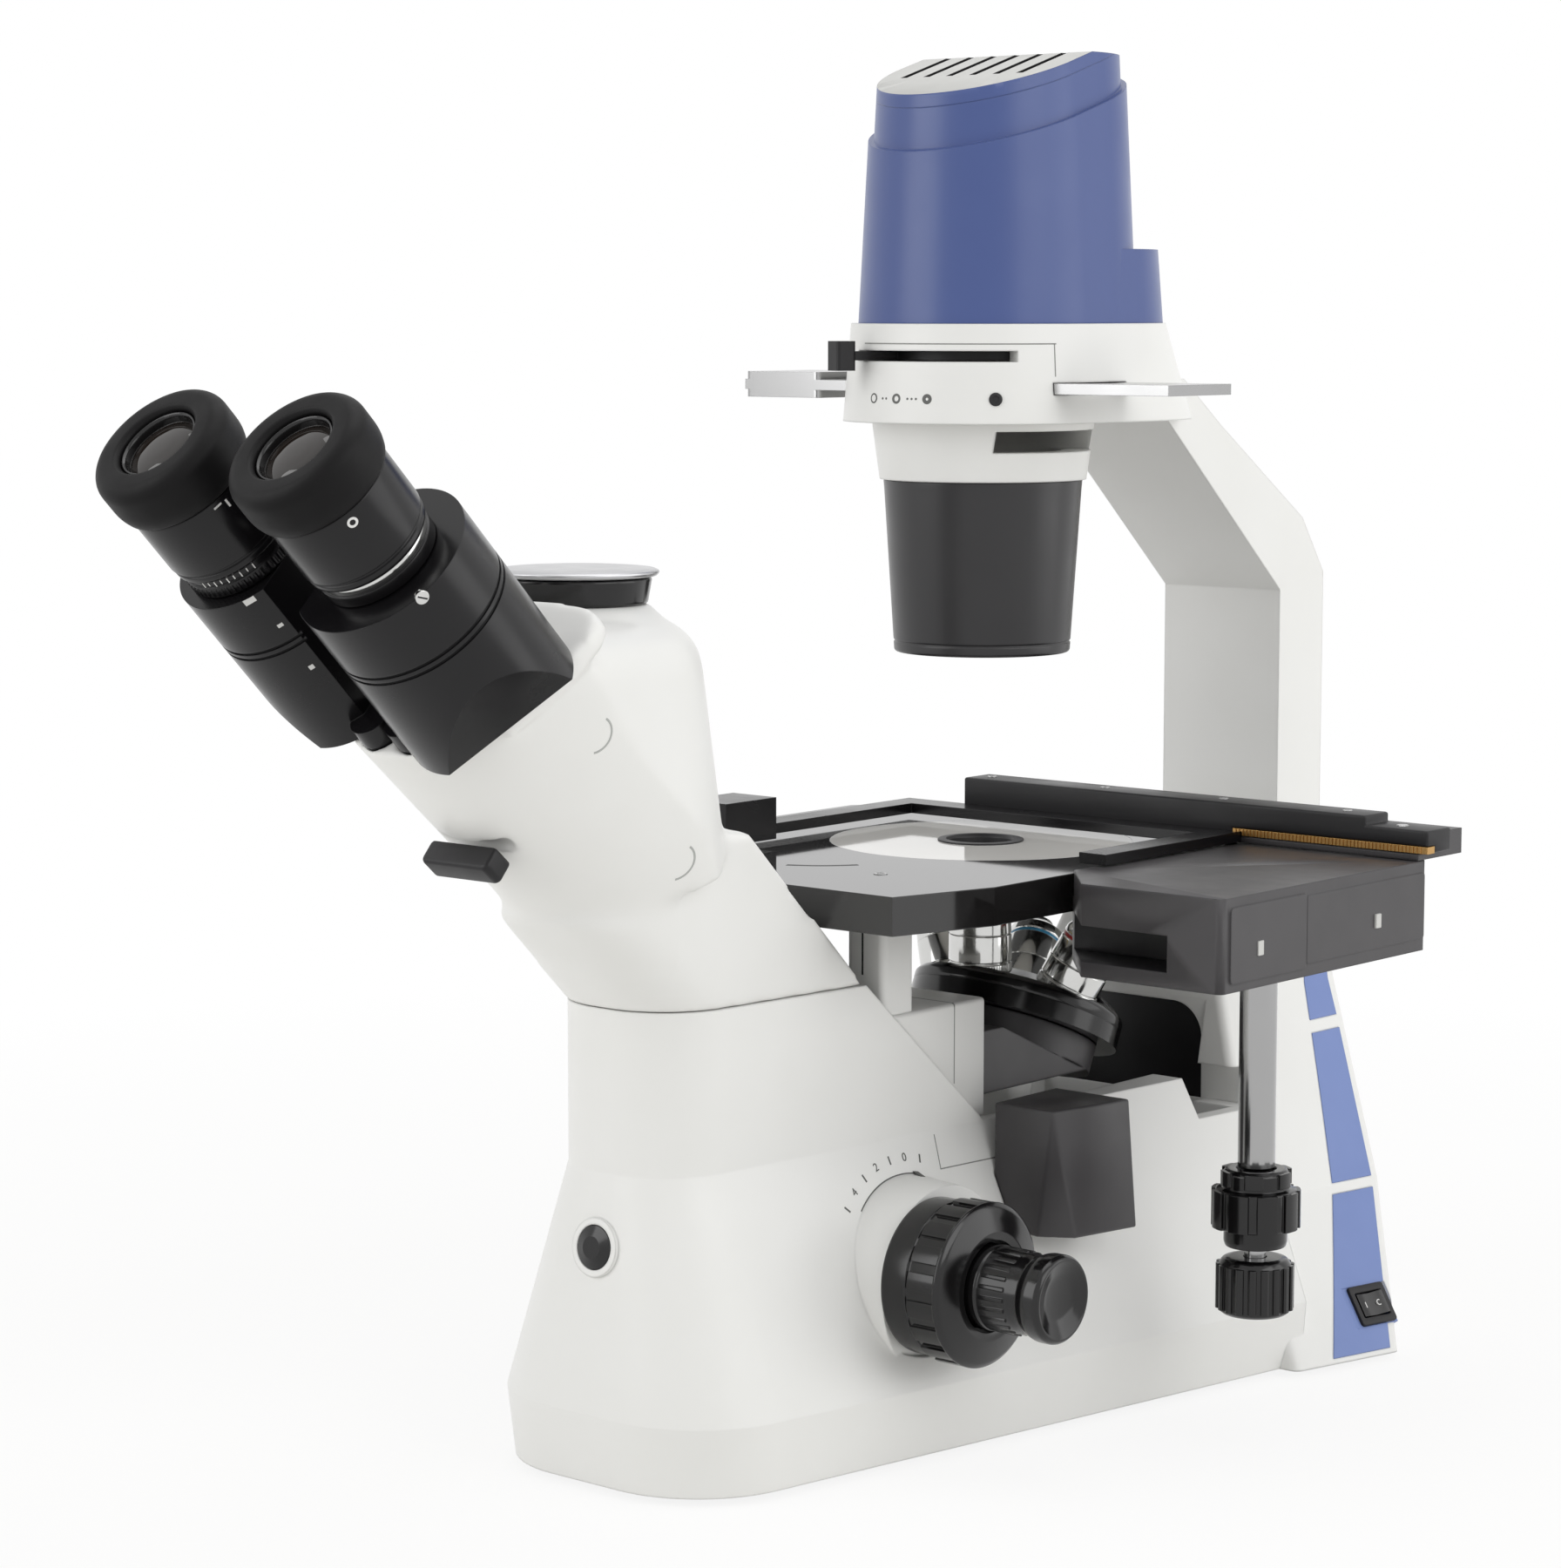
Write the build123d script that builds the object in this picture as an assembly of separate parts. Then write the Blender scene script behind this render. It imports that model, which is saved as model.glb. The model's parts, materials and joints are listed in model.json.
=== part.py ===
from build123d import *
import math
import os

# Inverted microscope, millimetres. X = 0, Y = 0 is the optical axis and Z = 0 the bench.
# The operator sits at -Y, with +X on the right hand.

# shared clearances
shaft_gap = 0.05
slide_gap = 0.3
wall = 5.0

# base casting: flared foot, from the bottom edge up to the deck
base_bottom_z = 3.0
base_wide_z = 28.0
deck_z = 112.0
foot_front_y = -226.0
foot_front_half = 54.0
foot_rear_half = 104.0
foot_rear_y = 74.0
foot_corner = 42.0
foot_tuck = 2.0
deck_front_y = -214.0
deck_front_half = 31.0
deck_rear_half = 56.8
deck_rear_y = 96.0
deck_corner = 29.0
edge_round = 2.5

# neck block of the base and the seam to the neck casting
seam_z = 170.0
neck_rear_y_at_seam = -117.0
neck_rear_slope = 0.93

# bay behind the neck, where the turret stands
bay_half = 40.0
bay_front_y = -48.0
bay_rear_y = 96.0
wall_drop_y = 60.0
wall_drop_z = 97.0
panel_half = 38.0
panel_top_z = 135.0
panel_round = 14.0

# rear tower, given at four heights
tower_rear_y = 194.0
tower_z = (3.0, 62.0, 137.0, 193.6)
column_half = 28.6
tower_front_half = (foot_rear_half + 4.0, foot_rear_half - 30.0, foot_rear_half - 56.0, column_half)
tower_front_y = (62.0, 80.0, 96.0, 112.0)
tower_corner_half = (foot_rear_half + 17.0, foot_rear_half - 18.0, foot_rear_half - 57.0, column_half)
tower_corner_y = (114.0, 153.0, 178.0, 180.0)
tower_rear_half = (50.0, 41.0, 34.0, 22.0)
tower_round = 4.0

# blue inlays let into the tower sides
inlay_depth = 1.2
inlay_proud = 0.3
inlay_margin = 4.0
inlay_bands = ((5.0, 59.0), (63.0, 118.0), (123.0, 140.0))
inlay_front_z = (5.0, 62.0, 140.0)
inlay_front = (82.0, 126.0, 157.0)
inlay_reach = 60.0

# base plate, feet and what stands inside the base
plate_thick = 3.0
foot_radius = 13.0
foot_spots = ((-24.0, -186.0), (24.0, -186.0), (-88.0, 84.0), (88.0, 84.0))
mirror_half = 20.0
mirror_depth = 44.0

# power switch on the right-hand tower side
switch_z = 20.0
switch_share = 0.8
switch_wide = 24.0
switch_tall = 17.0
switch_proud = 1.6
switch_rim = 1.8
switch_deep = 9.0
rocker_tilt = 7.0

# mains inlet on the rear face
inlet_z = 32.0
inlet_wide = 28.0
inlet_tall = 21.0
inlet_proud = 2.0
inlet_deep = 16.0
inlet_rim = 2.5
pin_size = 2.0

# round push button on the front
button_z = 86.0
button_radius = 8.0
button_rim = 2.4
button_proud = 1.4
button_deep = 8.0
button_gap = 0.3
button_travel = 1.6

# focus drive
focus_y = -115.0
focus_z = 68.0
boss_y = -104.0
boss_z = 63.0
boss_radius = 35.0
boss_flare = 2.0
boss_end_x = 65.0
knob_start_x = 66.0
coarse_radius = 29.0
coarse_length = 30.0
left_coarse_length = 20.0
coarse_ribs = 20
fine_radius = 19.0
fine_tip_radius = 15.5
fine_length = 30.0
left_fine_radius = 16.0
left_fine_length = 10.0
knob_gap = 0.8
rib_radius = 2.2
coarse_shaft_radius = 7.0
fine_shaft_radius = 3.5
bearing_radius = 16.0

# focus housing and rail behind the neck
housing_half = 40.0
housing_front_y = -113.0
housing_top_z = 157.0
rail_half = 9.0
rail_deep = 5.0
rail_bottom_z = 104.0
rail_top_z = 152.0

# neck and head
neck_lean = 44.0
neck_reach = 90.0
neck_chin_z = 214.0
neck_trim = 1.5
tube_tilt = 45.0
eye_y = -382.6
eye_z = 368.5
eye_distance = 62.8
seat_depth = 118.0
port_y = -226.0
head_rear_radius = 53.0
head_crown_radius = 41.0
head_front_half = 54.0
head_top_z = 307.0
head_bottom_z = 207.0
head_chin_y = -248.0
head_seat_low = -25.0
head_nose = 4.0
hull_half = 52.0
hull_deep = 70.0
head_round = 16.0
crown_steps = 5
plug_radius = 6.0
plug_deep = 4.0
plug_spots = ((49.0, -266.0, 273.0), (38.5, -213.0, 222.0))

# photo port
port_radius = 26.0
port_foot_radius = 24.4
port_flare = 8.0
port_lift = 5.0
port_bore = 19.0
port_ring_tall = 9.0
cap_radius = 28.5
cap_thick = 3.5
cap_spigot = 6.0

# binocular tubes, measured along the tube from the eye lens
tube_radius = 30.5
left_tube_radius = 25.0
tube_top = 49.0
tube_flat = 20.0
groove_at = 71.0
groove_wide = 1.2
groove_gap = 2.6
groove_deep = 0.8
facet_start = 90.0
facet_depth = 13.0
facet_turn = -31.0
pivot_half = 8.0
pivot_drop = 15.6
pivot_radius = 7.0
pivot_length = 12.0
flange_radius = 7.6
seat_gap = 0.2
ocular_radius = 15.0
ocular_deep = 30.0
ring_radius = 20.5
ring_low = 48.7
ring_high = 41.0
barrel_radius = 22.0
barrel_top = 9.0
eyecup_radius = 24.5
eyecup_low = 14.0
eyecup_high = -4.0
eyecup_hole = 14.5
lip_round = 3.0
barrel_step = 2.0
lens_radius = 13.0
lens_thick = 5.0

# light path selector on the chin of the head
selector_half = 15.5
selector_tall = 9.5
selector_proud = 9.5
selector_stem = 6.0
selector_travel = 8.0
selector_share = 0.42

# stage
stage_top_z = 207.6
stage_thick = 14.0
stage_left_x = -108.0
stage_right_x = 82.0
stage_front_y = -140.5
stage_rear_y = 130.0
stage_chamfer_x = 12.0
stage_chamfer_y = 43.0
insert_radius = 58.3
insert_thick = 2.5
insert_ledge = 3.0
insert_hole = 14.0
stage_post_half = 9.0
stage_post_x = 30.0
stage_post_y = -98.0

# mechanical stage
box_right_x = 168.0
box_front_y = -81.0
box_rear_y = 52.0
box_bottom_z = 176.0
box_top_z = 209.4
box_cut_x = 26.0
box_cut_y = 30.0
key_slot = 3.0
key_deep = 10.0
key_front_y = 20.0
key_rear_y = 50.0
slot_front_y = -64.0
carriage_thick = 2.4
carriage_rear_y = 76.0
bar_left_x = -44.0
bar_right_x = 145.0
bar_front_y = 45.5
bar_rear_y = 62.0
bar_top_z = 224.6
bar_end_x = 172.0
bar_end_top_z = 221.0
rack_left_x = 86.0
rack_tall = 2.6
rack_deep = 5.0
guide_tall = 7.0
guide_left_x = 100.0
holder_lift = 0.4
arm_tall = 4.0
arm_wide = 12.0
rail_wide = 13.5
holder_left_x = -72.0
holder_right_x = 90.0
left_arm_y = -70.0
right_arm_y = -42.0
clip_wide = 22.0
clip_front_y = -92.0
clip_rear_y = -63.0
clip_tall = 16.0
rod_x = 140.0
rod_y = -16.0
rod_radius = 6.8
y_knob_top_z = 101.0
y_knob_bottom_z = 72.0
y_knob_radius = 16.2
y_collar_radius = 12.6
y_collar_tall = 9.0
x_knob_top_z = 68.0
x_knob_bottom_z = 47.0
x_knob_radius = 14.4
stage_knob_ribs = 18

# filter slider in the right-hand wall
slider_left_x = -39.7
slider_grip_x = 52.0
slider_right_x = 82.0
slider_lean = 8.0
slider_front_y = -58.0
slider_rear_y = -20.0
slider_bottom_z = 72.0
slider_top_z = 120.0
slider_facet = 14.0
tray_front_y = -44.0
tray_rear_y = -24.0
tray_bottom_z = 84.0
tray_top_z = 92.0
tray_wall = 3.0
tray_windows = 3

# turret and objectives
turret_tilt = 24.0
turret_pitch = 28.4
turret_radius = 42.0
turret_thick = 7.0
turret_places = 5
seat_z = 156.0
thread_radius = 10.0
thread_length = 5.0
spot_radius = 13.6
hub_radius = 34.0
hub_thick = 11.0
hub_gap = 0.3
turret_pin = 7.0
beam_radius = 11.0
carriage_half = 33.0
carriage_bottom_z = 118.0
carriage_top_z = 142.0
carriage_lip_y = -44.0
objective_lengths = (30.0, 37.0, 39.0, 41.0)
objective_names = ("4x", "10x", "20x", "40x")
objective_places = (1, 0, 4, 3)
objective_radius = 12.4
plug_length = 6.0

# arm, carrier and lamp
column_front_y = 162.0
column_crease_z = 297.0
arm_front = (80.0, 369.0)
arm_rear = ((194.0, 303.0), (178.0, 326.0), (117.0, 366.0), (92.0, 384.0))
carrier_top_z = 406.0
carrier_bottom_z = 369.0
carrier_top_radius = 50.5
carrier_bottom_radius = 53.5
carrier_top_run = 32.0
carrier_bottom_run = 45.0
carrier_bore = 30.0
ring_bottom_z = 347.0
ring_top_radius = 42.5
ring_bottom_radius = 39.5
cone_bottom_z = 281.0
cone_top_radius = 38.0
cone_bottom_radius = 33.6
cone_wall = 3.0
condenser_lens_radius = 27.0
condenser_lens_thick = 8.0
tray_slot_tall = 8.0
tray_slot_top_z = 366.0
lamp_bottom_radius = 47.7
lamp_top_radius = 42.5
lamp_run = 17.5
lamp_top_z = 507.0
lamp_step_share = 0.277
lamp_step_run = 35.0
lamp_step_in = 2.2
lamp_wall = 3.0
lamp_slope = 17.0
lid_drop = 22.0
lid_thick = 5.0
lid_slots = 6
lid_slot_pitch = 11.0
lid_slot_wide = 3.2
lid_slot_long = 30.0
step_drop = 37.0
led_base_radius = 36.0
led_base_thick = 5.0
led_fins = 7
led_fin_thick = 2.0
led_fin_tall = 26.0
led_lens_radius = 18.0

# aperture lever, in a slot round the carrier
lever_z = 394.0
lever_slot_tall = 4.0
lever_from = -118.0
lever_to = -38.0
lever_at = -111.0
lever_inner = 32.0
lever_outer = 62.0
lever_hub = 39.0
lever_thick = 3.4
lever_knob_wide = 9.0
lever_knob_tall = 11.0
lever_knob_deep = 8.0

# phase slider through the carrier
phase_z = 380.0
phase_half_y = 20.0
phase_thick = 4.0
phase_left_x = -103.0
phase_right_x = 100.0
phase_grip_tall = 10.0
phase_grip_length = 38.0
phase_hole = 15.0
phase_pitch = 46.0


def block(x0, x1, y0, y1, z0, z1):
    centre = Pos((x0 + x1) / 2, (y0 + y1) / 2, (z0 + z1) / 2)
    return centre * Box(x1 - x0, y1 - y0, z1 - z0)


def side_prism(points, half):
    return extrude(Plane.YZ * Polygon(*points, align=None), amount=half, both=True)


def plan_prism(points, z0, z1):
    return extrude(Pos(0, 0, z0) * Polygon(*points, align=None), amount=z1 - z0, dir=(0, 0, 1))


def rod_z_between(radius, z0, z1, x=0, y=0):
    return Pos(x, y, (z0 + z1) / 2) * Cylinder(radius, z1 - z0)


def rod_x_between(radius, x0, x1, y, z):
    return Pos((x0 + x1) / 2, y, z) * Rot(0, 90, 0) * Cylinder(radius, abs(x1 - x0))


def turned(points):
    return revolve(Plane.XZ * Polygon(*points, align=None), Axis.Z)


def mirrored(shape):
    return mirror(shape, about=Plane.YZ)


def both_sides(shape):
    return Part() + [shape, mirrored(shape)]


def between(z, levels, values):
    for low in range(len(levels) - 1):
        if z <= levels[low + 1] or low == len(levels) - 2:
            share = (z - levels[low]) / (levels[low + 1] - levels[low])
            return values[low] + share * (values[low + 1] - values[low])


def ribbed(radius, length, count):
    barrel = Cylinder(radius, length)
    flutes = PolarLocations(radius + rib_radius / 2, count)
    return barrel - [spot * Cylinder(rib_radius, length) for spot in flutes]


# base casting

def foot_section(z, front_y, front_half, rear_y, rear_half, corner, inset=0.0):
    outline = Polygon(
        (-front_half + inset, front_y + inset),
        (front_half - inset, front_y + inset),
        (rear_half - inset, rear_y - inset),
        (-rear_half + inset, rear_y - inset),
        align=None,
    )
    front = outline.vertices().sort_by(Axis.Y)[:2]
    return Pos(0, 0, z) * fillet(front, max(corner - inset, edge_round))


def flared_foot(inset=0.0):
    low = foot_section(
        base_bottom_z, foot_front_y + foot_tuck, foot_front_half - foot_tuck,
        foot_rear_y, foot_rear_half - foot_tuck, foot_corner, inset)
    wide = foot_section(
        base_wide_z, foot_front_y, foot_front_half, foot_rear_y, foot_rear_half, foot_corner, inset)
    deck = foot_section(
        deck_z - inset, deck_front_y, deck_front_half, deck_rear_y, deck_rear_half, deck_corner, inset)
    return loft([low, wide, deck], ruled=True)


def tower_section(level, grow):
    right = (
        (tower_front_half[level] + grow, tower_front_y[level]),
        (tower_corner_half[level] + grow, tower_corner_y[level]),
        (tower_rear_half[level] + grow, tower_rear_y),
    )
    left = [(-x, y) for x, y in reversed(right)]
    outline = Polygon(*right, *left, align=None)
    return Pos(0, 0, tower_z[level]) * fillet(outline.vertices(), tower_round)


def tower(grow=0.0):
    return loft([tower_section(level, grow) for level in range(len(tower_z))], ruled=True)


def neck_rear_y(z):
    return neck_rear_y_at_seam + (seam_z - z) / neck_rear_slope


def neck_block():
    plan = foot_section(deck_z, deck_front_y, deck_front_half, deck_rear_y, deck_rear_half, deck_corner)
    upright = extrude(plan, amount=seam_z - deck_z, dir=(0, 0, 1))
    profile = (
        (foot_front_y, deck_z), (foot_front_y, seam_z),
        (neck_rear_y_at_seam, seam_z), (neck_rear_y(deck_z), deck_z),
    )
    return upright & side_prism(profile, foot_rear_half)


def inlay_front_y(z):
    return between(z, inlay_front_z, inlay_front)


def inlay_rear_y(z):
    return between(z, tower_z, tower_corner_y) - inlay_margin


def inlay_windows():
    windows = []
    for low, high in inlay_bands:
        outline = (
            (inlay_front_y(low), low), (inlay_rear_y(low), low),
            (inlay_rear_y(high), high), (inlay_front_y(high), high),
        )
        face = Plane.YZ * Polygon(*outline, align=None)
        windows.append(extrude(face, amount=foot_rear_half + inlay_reach, dir=(1, 0, 0)))
    return windows


def rear_inlays():
    skin = tower(inlay_proud) - tower(-inlay_depth)
    strips = [skin & window for window in inlay_windows()]
    right = Part() + strips
    return both_sides(right) - switch_envelope()


def switch_plane():
    def tower_point(z, share):
        front = Vector(between(z, tower_z, tower_front_half), between(z, tower_z, tower_front_y), z)
        corner = Vector(between(z, tower_z, tower_corner_half), between(z, tower_z, tower_corner_y), z)
        return front + (corner - front) * share
    spot = tower_point(switch_z, switch_share)
    along = tower_point(switch_z, 1.0) - spot
    rise = tower_point(switch_z + switch_tall, switch_share) - spot
    return Plane(origin=spot, x_dir=along, z_dir=along.cross(rise))


def switch_envelope():
    rim = Box(switch_wide, switch_tall, 2 * switch_proud)
    sleeve = Box(switch_wide - 2 * switch_rim, switch_tall - 2 * switch_rim, switch_deep)
    return switch_plane() * (rim + Pos(0, 0, -switch_deep / 2) * sleeve)


def switch_frame():
    deep = switch_proud + switch_deep - switch_rim
    well = Box(switch_wide - 4 * switch_rim, switch_tall - 4 * switch_rim, deep)
    return switch_envelope() - switch_plane() * Pos(0, 0, switch_proud - deep / 2) * well


def power_rocker():
    wide = switch_wide - 4 * switch_rim - 4 * slide_gap
    tall = switch_tall - 4 * switch_rim - 2 * slide_gap
    rise = math.tan(math.radians(rocker_tilt)) * wide / 2
    profile = (
        (-wide / 2, -switch_rim), (wide / 2, -switch_rim),
        (wide / 2, switch_proud + 2 * rise), (0, switch_proud), (-wide / 2, switch_proud),
    )
    face = Plane.XZ * Polygon(*profile, align=None)
    return switch_plane() * extrude(face, amount=tall / 2, both=True)


def front_plane():
    share = (button_z - base_wide_z) / (deck_z - base_wide_z)
    y = foot_front_y + share * (deck_front_y - foot_front_y)
    lean = math.atan2(deck_front_y - foot_front_y, deck_z - base_wide_z)
    return Plane(origin=(0, y, button_z), x_dir=(1, 0, 0), z_dir=(0, -math.cos(lean), math.sin(lean)))


def front_button():
    crown = button_proud * 2
    low = -button_deep + button_travel + slide_gap
    profile = (
        (0, low), (button_radius - button_gap, low),
        (button_radius - button_gap, button_proud), (button_radius / 2, crown), (0, crown),
    )
    return front_plane() * turned(profile)


def base_casting():
    shell = flared_foot() + tower() + neck_block()
    boss_x = deck_front_half
    boss = Solid.make_cone(boss_radius + boss_flare, boss_radius, boss_end_x - boss_x)
    shell += both_sides(Pos(boss_x, boss_y, boss_z) * Rot(0, 90, 0) * boss)
    rim = Cylinder(button_radius + button_rim, button_proud + button_deep)
    shell += front_plane() * Pos(0, 0, (button_proud - button_deep) / 2) * rim
    hollow = flared_foot(wall) - block(
        -boss_end_x, boss_end_x, focus_y - bearing_radius, focus_y + bearing_radius,
        focus_z - bearing_radius, deck_z)
    shell -= hollow
    shell -= block(-bay_half, bay_half, bay_front_y, foot_rear_y - wall, base_bottom_z, seam_z + wall)
    shell -= block(
        -bay_half, bay_half, bay_front_y, bay_rear_y, base_bottom_z + plate_thick + wall, seam_z + wall)
    shell -= block(-foot_rear_half, foot_rear_half, wall_drop_y, bay_rear_y, wall_drop_z, deck_z)
    shell -= bay_panel()
    shell -= rod_x_between(coarse_shaft_radius + shaft_gap, -foot_rear_half, foot_rear_half, focus_y, focus_z)
    shell -= both_sides(rod_x_between(
        coarse_radius + knob_gap, boss_end_x, foot_rear_half, focus_y, focus_z))
    shell -= front_plane() * Pos(0, 0, (button_proud - button_deep) / 2) * Cylinder(
        button_radius, button_proud + button_deep)
    shell -= block(
        0, slider_right_x, tray_front_y - slide_gap, tray_rear_y + slide_gap,
        tray_bottom_z - slide_gap, tray_top_z + slide_gap)
    shell -= block(
        slider_grip_x - slide_gap, foot_rear_half, slider_front_y - slide_gap, slider_rear_y + slide_gap,
        slider_bottom_z - slide_gap, slider_top_z + slide_gap)
    shell -= inlet_hole()
    return shell


def base_with_recesses(solid):
    recess = tower(inlay_proud) - tower(-inlay_depth)
    cuts = [recess & window for window in inlay_windows()]
    return solid - both_sides(Part() + cuts) - switch_envelope()


# mains inlet

def inlet_hole():
    return block(
        -inlet_wide / 2 + inlet_rim, inlet_wide / 2 - inlet_rim, tower_rear_y - inlet_deep,
        tower_rear_y, inlet_z - inlet_tall / 2 + inlet_rim, inlet_z + inlet_tall / 2 - inlet_rim)


def mains_inlet():
    rim = block(
        -inlet_wide / 2, inlet_wide / 2, tower_rear_y, tower_rear_y + inlet_proud,
        inlet_z - inlet_tall / 2, inlet_z + inlet_tall / 2)
    sleeve = inlet_hole() + rim
    well = block(
        -inlet_wide / 2 + 2 * inlet_rim, inlet_wide / 2 - 2 * inlet_rim,
        tower_rear_y - inlet_deep + inlet_rim, tower_rear_y + inlet_proud,
        inlet_z - inlet_tall / 2 + 2 * inlet_rim, inlet_z + inlet_tall / 2 - 2 * inlet_rim)
    pins = []
    for step in (-1, 0, 1):
        x = step * inlet_wide / 4
        z = inlet_z + pin_size * (1 - abs(step))
        pins.append(block(
            x - pin_size / 2, x + pin_size / 2, tower_rear_y - inlet_deep + inlet_rim,
            tower_rear_y - inlet_rim, z - pin_size, z + pin_size))
    return sleeve - well + pins


# base plate, feet and mirror

def base_plate():
    plan = foot_section(
        base_bottom_z, foot_front_y + foot_tuck, foot_front_half - foot_tuck,
        foot_rear_y, foot_rear_half - foot_tuck, foot_corner, wall + slide_gap)
    return extrude(plan, amount=plate_thick, dir=(0, 0, 1))


def rubber_feet():
    return Part() + [rod_z_between(foot_radius, 0, base_bottom_z, x, y) for x, y in foot_spots]


def relay_mirror():
    floor_z = base_bottom_z + plate_thick
    return side_prism(
        ((-mirror_depth / 2, floor_z), (mirror_depth / 2, floor_z), (mirror_depth / 2, floor_z + mirror_depth)),
        mirror_half)


# focus drive

def coarse_knobs():
    end = knob_start_x + coarse_length
    right = ribbed(coarse_radius, coarse_length, coarse_ribs)
    left = ribbed(coarse_radius, left_coarse_length, coarse_ribs)
    knob = Pos(end - coarse_length / 2, focus_y, focus_z) * Rot(0, 90, 0) * right
    knob += Pos(-knob_start_x - left_coarse_length / 2, focus_y, focus_z) * Rot(0, 90, 0) * left
    spindle = rod_x_between(coarse_shaft_radius, -knob_start_x, knob_start_x, focus_y, focus_z)
    return knob + spindle - rod_x_between(fine_shaft_radius + shaft_gap, -end, end, focus_y, focus_z)


def fine_knobs():
    start = knob_start_x + coarse_length + knob_gap
    half = fine_length / 2
    collar = Pos(0, 0, half / 2) * ribbed(fine_radius, half, coarse_ribs)
    tip = Pos(0, 0, half) * Solid.make_cone(fine_radius - rib_radius, fine_tip_radius, half)
    dish = Pos(0, 0, fine_length + fine_tip_radius) * Sphere(fine_tip_radius * math.sqrt(1.4))
    knob = Pos(start, focus_y, focus_z) * Rot(0, 90, 0) * (collar + tip - dish)
    left_start = knob_start_x + left_coarse_length + knob_gap
    disc = Pos(-left_start - left_fine_length / 2, focus_y, focus_z) * Rot(0, 90, 0) * ribbed(
        left_fine_radius, left_fine_length, coarse_ribs)
    return knob + disc + rod_x_between(fine_shaft_radius, -left_start, start, focus_y, focus_z)


def focus_housing():
    body = block(-housing_half, housing_half, housing_front_y, bay_front_y, deck_z, housing_top_z)
    cover = body - base_solid
    return cover.solids().sort_by(SortBy.VOLUME)[-1]


def focus_rail():
    return block(-rail_half, rail_half, bay_front_y, bay_front_y + rail_deep, rail_bottom_z, rail_top_z)


# turret and objectives

def turret_plane():
    tilt = math.radians(turret_tilt)
    reach = turret_pitch / math.sin(tilt)
    centre_y = turret_pitch * math.cos(tilt)
    centre_z = seat_z - reach * math.sin(tilt) ** 2
    return Plane(origin=(0, centre_y, centre_z), x_dir=(1, 0, 0), z_dir=(0, math.sin(tilt), math.cos(tilt)))


def objective_place(index):
    turn = Rot(0, 0, -90 + index * 360 / turret_places)
    return turret_plane().location * turn * Pos(turret_pitch, 0, 0) * Rot(0, turret_tilt, 0)


def turret():
    drop = math.tan(math.radians(turret_tilt))
    inner = spot_radius
    profile = (
        (0, (turret_pitch - inner) * drop), (inner, (turret_pitch - inner) * drop),
        (turret_radius, (turret_pitch - turret_radius) * drop),
        (turret_radius, (turret_pitch - turret_radius) * drop - turret_thick),
        (0, (turret_pitch - turret_radius) * drop - turret_thick),
    )
    body = turret_plane() * turned(profile)
    for index in range(turret_places):
        place = objective_place(index)
        body -= place * Pos(0, 0, spot_radius / 2) * Cylinder(spot_radius, spot_radius)
        body -= place * Cylinder(thread_radius + shaft_gap, 4 * turret_thick)
    low = (turret_pitch - turret_radius) * drop - turret_thick
    pin = Pos(0, 0, low + turret_thick / 2) * Cylinder(turret_pin + shaft_gap, turret_thick)
    return body - turret_plane() * pin


def objective(index):
    length = objective_lengths[index]
    wide = objective_radius
    tip = wide * (0.9 - 0.12 * index)
    shoulder = wide * 0.82
    profile = (
        (0, -thread_length), (thread_radius, -thread_length), (thread_radius, 0), (shoulder, 0),
        (shoulder, length * 0.14), (wide, length * 0.2), (wide, length * 0.62),
        (wide * 0.92, length * 0.66), (wide * 0.92, length * 0.8), (tip, length * 0.92),
        (tip * 0.8, length), (0, length),
    )
    return objective_place(objective_places[index]) * turned(profile)


def turret_plug():
    spare = [place for place in range(turret_places) if place not in objective_places][0]
    profile = (
        (0, -thread_length), (thread_radius, -thread_length), (thread_radius, 0), (objective_radius, 0),
        (objective_radius, plug_length * 0.8), (objective_radius * 0.9, plug_length), (0, plug_length),
    )
    return objective_place(spare) * turned(profile)


def focus_carriage():
    drop = math.tan(math.radians(turret_tilt))
    low = (turret_pitch - turret_radius) * drop - turret_thick - hub_gap
    hub = Pos(0, 0, low - hub_thick / 2) * Cylinder(hub_radius, hub_thick)
    pin = Pos(0, 0, low + turret_thick / 2) * Cylinder(turret_pin, turret_thick + hub_gap)
    tilted = turret_plane() * (hub + pin)
    above = turret_plane() * Pos(0, 0, low - hub_thick + turret_radius * 2) * Box(
        8 * turret_radius, 8 * turret_radius, turret_radius * 4)
    bracket = block(
        -carriage_half, carriage_half, carriage_lip_y, turret_pitch, carriage_bottom_z, carriage_top_z) - above
    shoe = block(
        -carriage_half, carriage_half, bay_front_y + slide_gap, carriage_lip_y,
        carriage_bottom_z, carriage_top_z)
    beam = rod_z_between(beam_radius, carriage_bottom_z, seat_z)
    channel = block(
        -rail_half - slide_gap, rail_half + slide_gap, bay_front_y, bay_front_y + rail_deep + slide_gap,
        rail_bottom_z, rail_top_z)
    return bracket + shoe + tilted - beam - channel


def bay_panel():
    panel = block(-panel_half, panel_half, bay_rear_y, bay_rear_y + wall, wall_drop_z, panel_top_z)
    return fillet(panel.edges().filter_by(Axis.Y).group_by(Axis.Z)[-1], panel_round)


# filter slider

def slider_grip():
    profile = (
        (slider_grip_x, slider_top_z), (slider_right_x, slider_top_z),
        (slider_right_x + slider_lean, slider_bottom_z), (slider_grip_x, slider_bottom_z),
    )
    depth = slider_rear_y - slider_front_y
    bar = extrude(Plane.XZ * Polygon(*profile, align=None), amount=depth / 2, both=True)
    return Pos(0, (slider_front_y + slider_rear_y) / 2, 0) * bar


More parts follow.
